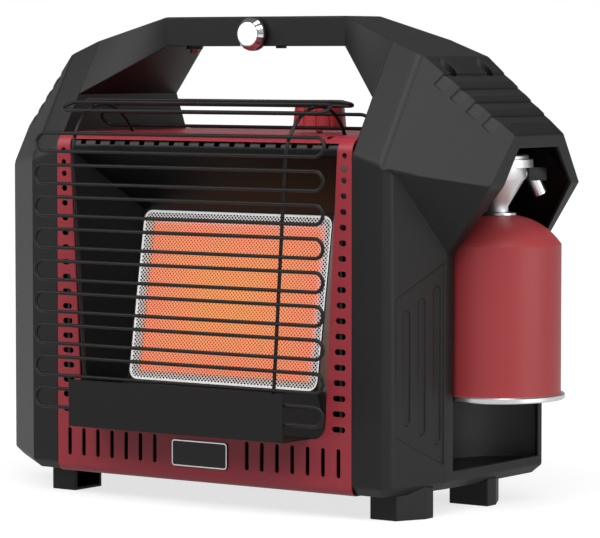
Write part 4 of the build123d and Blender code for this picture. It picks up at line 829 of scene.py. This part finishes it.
class HEATER_OT_burner(bpy.types.Operator):
    """Glowing plaques behind a fine diamond mesh in its frame"""

    bl_idname = "heater.burner"
    bl_label = "Burner"

    def execute(self, context):
        for node in ("ceramic_plaque_left", "ceramic_plaque_right"):
            paint(node, glowing_ceramic())
        smooth_piece("burner_frame", enamel())
        self.fine_mesh()
        paint("burner_spacer", enamel())
        for node in ("burner_plenum", "burner_bracket_left", "burner_bracket_right"):
            paint(node, dull_steel())
        return {"FINISHED"}

    def fine_mesh(self):
        """Diamond mesh in two halves, from a turned grid that is opened and given thickness."""
        low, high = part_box("burner_mesh")
        centre = (low + high) / 2
        tilt = sizes().burner_tilt
        thickness = sizes().mesh_thickness
        half_width = (high.x - low.x) / 2
        half_height = ((high.z - low.z) - thickness * math.sin(tilt)) / (2 * math.cos(tilt))
        lean = Matrix.Translation(centre) @ Matrix.Rotation(QUARTER_TURN - tilt, 4, "X")
        for name, start, stop, nodes in (
            ("diamond_mesh_left", -half_width, 0.0, ["burner_mesh"]),
            ("diamond_mesh_right", 0.0, half_width, []),
        ):
            bm = self.diamonds(half_width, half_height)
            for place, beyond in (
                (Vector((start, 0, 0)), Vector((-1, 0, 0))),
                (Vector((stop, 0, 0)), Vector((1, 0, 0))),
                (Vector((0, -half_height, 0)), Vector((0, -1, 0))),
                (Vector((0, half_height, 0)), Vector((0, 1, 0))),
            ):
                cut_away(bm, place, beyond)
            bmesh.ops.solidify(bm, geom=bm.faces[:], thickness=thickness)
            bmesh.ops.transform(bm, matrix=lean, verts=bm.verts)
            bmesh.ops.recalc_face_normals(bm, faces=bm.faces)
            place_piece(bm, name, ROOT_BODY, mesh_steel(), nodes)
        self.hem(lean)

    def diamonds(self, half_width, half_height):
        """A flat grid turned by 45 degrees, each cell opened to leave its strands."""
        side = sizes().mesh_pitch / math.sqrt(2)
        cells = math.ceil(math.sqrt(2) * (half_width + half_height) / side) + SPARE_CELLS
        bm = bmesh.new()
        turn = Matrix.Rotation(QUARTER_TURN / 2, 4, "Z")
        bmesh.ops.create_grid(
            bm, x_segments=cells, y_segments=cells, size=cells * side / 2, matrix=turn
        )
        ring = set(
            bmesh.ops.inset_individual(
                bm, faces=bm.faces[:], thickness=sizes().mesh_strand, use_even_offset=True
            )["faces"]
        )
        bmesh.ops.delete(bm, geom=[f for f in bm.faces if f not in ring], context="FACES")
        return bm

    def hem(self, place):
        """Bright hem round the mesh, just inside the window of its frame."""
        bm = bmesh.new()
        bmesh.ops.create_grid(bm, x_segments=1, y_segments=1, size=1.0)
        bmesh.ops.scale(
            bm, vec=(sizes().hem_half_width, sizes().hem_half_height, 1.0), verts=bm.verts
        )
        bmesh.ops.bevel(
            bm, geom=bm.verts[:], offset=sizes().hem_corner, offset_type="OFFSET",
            affect="VERTICES", segments=HEM_SEGMENTS, profile=0.5, material=-1,
        )
        inner = bm.faces[:]
        bmesh.ops.inset_region(
            bm, faces=inner, thickness=sizes().hem_width, use_even_offset=True, use_boundary=True
        )
        bmesh.ops.delete(bm, geom=inner, context="FACES")
        bmesh.ops.solidify(bm, geom=bm.faces[:], thickness=-sizes().hem_height)
        bmesh.ops.transform(bm, matrix=place, verts=bm.verts)
        bmesh.ops.recalc_face_normals(bm, faces=bm.faces)
        place_piece(bm, "mesh_hem", ROOT_BODY, bright_edge())


class HEATER_OT_guard(bpy.types.Operator):
    """Wire guard with its plate"""

    bl_idname = "heater.guard"
    bl_label = "Guard"

    def execute(self, context):
        for node in ("guard_loops", "guard_uprights"):
            smooth_piece(node, guard_coating())
        smooth_piece("guard_plate", guard_sheet())
        return {"FINISHED"}


class HEATER_OT_controls(bpy.types.Operator):
    """Knob, lamp and the lamp switch's button"""

    bl_idname = "heater.controls"
    bl_label = "Knob and lamp"

    def execute(self, context):
        smooth_piece("control_knob", knob_plastic(), sizes().small_edge, low=KNOB_EDGE)
        smooth_piece("lamp_switch_button", knob_plastic())
        smooth_piece("lamp_bezel", polished_chrome(), sizes().small_edge)
        smooth_piece("lamp_lens", lens_plastic())
        return {"FINISHED"}


class HEATER_OT_canister(bpy.types.Operator):
    """Gas canister and regulator"""

    bl_idname = "heater.canister"
    bl_label = "Canister and regulator"

    def execute(self, context):
        smooth_piece("canister_shell", canister_paint())
        for node in ("canister_base", "canister_valve_cup"):
            smooth_piece(node, bright_steel())
        for node in ("regulator_body", "regulator_cap"):
            smooth_piece(node, cast_metal())
        smooth_piece("regulator_outlet_block", small_plastic(), sizes().small_edge)
        smooth_piece("regulator_barrel", bright_steel())
        smooth_piece("regulator_bracket", enamel())
        return {"FINISHED"}


class HEATER_OT_stage(bpy.types.Operator):
    """Floor, soft studio light and the photograph's view"""

    bl_idname = "heater.stage"
    bl_label = "Stage"

    def execute(self, context):
        self.floor()
        self.world()
        for name, place, size, power in LAMPS:
            self.lamp(name, place, size, power)
        self.camera()
        bpy.context.scene.view_settings.view_transform = "Standard"
        return {"FINISHED"}

    def floor(self):
        """A wide pale floor that fades to white away from the heater."""
        bm = bmesh.new()
        bmesh.ops.create_grid(bm, x_segments=1, y_segments=1, size=FLOOR_SIZE / 2)
        mesh = bpy.data.meshes.new("floor")
        bm.to_mesh(mesh)
        bm.free()
        material = plain("Pale floor", FLOOR_GREY, roughness=0.9, specular=0.0)
        mesh.materials.append(material)
        tree = material.node_tree
        shader = tree.nodes["Principled BSDF"]
        shader.inputs["Emission Color"].default_value = (*WHITE, 1.0)
        place = tree.nodes.new("ShaderNodeTexCoord")
        away = operation_node(tree, "ShaderNodeVectorMath", "LENGTH")
        fade = map_range(tree, FLOOR_FADE, FLOOR_WHITENESS)
        strength = operation_node(tree, "ShaderNodeMath", "MULTIPLY")
        tree.links.new(place.outputs["Object"], away.inputs[0])
        tree.links.new(away.outputs["Value"], fade.inputs["Value"])
        tree.links.new(fade.outputs["Result"], strength.inputs[0])
        tree.links.new(self.seen(tree, MIRRORED_SHARE), strength.inputs[1])
        tree.links.new(strength.outputs["Value"], shader.inputs["Emission Strength"])
        linked("floor", mesh)

    def seen(self, tree, mirrored):
        """1 for a ray from the camera or through glass, and the mirrored share for a reflection."""
        rays = tree.nodes.new("ShaderNodeLightPath")
        part = operation_node(tree, "ShaderNodeMath", "MULTIPLY")
        direct = operation_node(tree, "ShaderNodeMath", "MAXIMUM")
        either = operation_node(tree, "ShaderNodeMath", "MAXIMUM")
        tree.links.new(rays.outputs["Is Glossy Ray"], part.inputs[0])
        if isinstance(mirrored, float):
            part.inputs[1].default_value = mirrored
        else:
            tree.links.new(mirrored, part.inputs[1])
        tree.links.new(rays.outputs["Is Camera Ray"], direct.inputs[0])
        tree.links.new(rays.outputs["Is Transmission Ray"], direct.inputs[1])
        tree.links.new(direct.outputs["Value"], either.inputs[0])
        tree.links.new(part.outputs["Value"], either.inputs[1])
        return either.outputs["Value"]

    def world(self):
        """A dim studio with a white backdrop, which reflections see behind the heater."""
        world = bpy.data.worlds.new("Studio")
        bpy.context.scene.world = world
        world.use_nodes = True
        tree = world.node_tree
        back = tree.nodes["Background"]
        back.inputs["Color"].default_value = (*WHITE, 1.0)
        place = tree.nodes.new("ShaderNodeTexCoord")
        parts = tree.nodes.new("ShaderNodeSeparateXYZ")
        height = map_range(tree, BACKDROP_RISES, (MIRRORED_SHARE, 0.0))
        behind = map_range(tree, BACKDROP_DEPTHS)
        backdrop = operation_node(tree, "ShaderNodeMath", "MULTIPLY")
        strength = map_range(tree, (0.0, 1.0), (STUDIO_LIGHT, 1.0))
        tree.links.new(place.outputs["Generated"], parts.inputs["Vector"])
        tree.links.new(parts.outputs["Z"], height.inputs["Value"])
        tree.links.new(parts.outputs["Y"], behind.inputs["Value"])
        tree.links.new(height.outputs["Result"], backdrop.inputs[0])
        tree.links.new(behind.outputs["Result"], backdrop.inputs[1])
        tree.links.new(self.seen(tree, backdrop.outputs["Value"]), strength.inputs["Value"])
        tree.links.new(strength.outputs["Result"], back.inputs["Strength"])

    def aim(self, thing, place, target):
        """Put a lamp or the camera at its place, facing a target."""
        thing.location = place
        sight = Vector(target) - Vector(place)
        thing.rotation_euler = sight.to_track_quat("-Z", "Y").to_euler()

    def lamp(self, name, place, size, power):
        """One soft lamp that faces the heater."""
        data = bpy.data.lights.new(name, "AREA")
        data.shape = "RECTANGLE"
        data.size, data.size_y = size
        data.energy = power
        self.aim(linked(name, data), place, LAMP_TARGET)

    def camera(self):
        """The camera at the photograph's view."""
        data = bpy.data.cameras.new("Camera")
        data.lens = CAMERA_LENS_MM
        data.sensor_width = CAMERA_SENSOR_MM
        data.sensor_fit = "HORIZONTAL"
        camera = linked("Camera", data)
        self.aim(camera, CAMERA_PLACE, CAMERA_TARGET)
        bpy.context.scene.camera = camera


OPERATORS = (
    HEATER_OT_stage,
    HEATER_OT_covers,
    HEATER_OT_casing,
    HEATER_OT_burner,
    HEATER_OT_guard,
    HEATER_OT_controls,
    HEATER_OT_canister,
)


class HEATER_PT_panel(bpy.types.Panel):
    """Lists the heater's pieces"""

    bl_idname = "HEATER_PT_panel"
    bl_label = "Gas heater"
    bl_space_type = "VIEW_3D"
    bl_region_type = "UI"
    bl_category = "Heater"

    def draw(self, context):
        for operator in OPERATORS:
            self.layout.operator(operator.bl_idname)


CLASSES = (HeaterSizes, HeaterColours, *OPERATORS, HEATER_PT_panel)


def register():
    for cls in CLASSES:
        bpy.utils.register_class(cls)
    bpy.types.Scene.heater_sizes = bpy.props.PointerProperty(type=HeaterSizes)
    bpy.types.Scene.heater_colours = bpy.props.PointerProperty(type=HeaterColours)


def unregister():
    del bpy.types.Scene.heater_colours
    del bpy.types.Scene.heater_sizes
    for cls in reversed(CLASSES):
        bpy.utils.unregister_class(cls)


def main():
    register()
    bpy.ops.heater.stage()
    bpy.ops.heater.covers()
    bpy.ops.heater.casing()
    bpy.ops.heater.burner()
    bpy.ops.heater.guard()
    bpy.ops.heater.controls()
    bpy.ops.heater.canister()


if __name__ == "__main__":
    main()
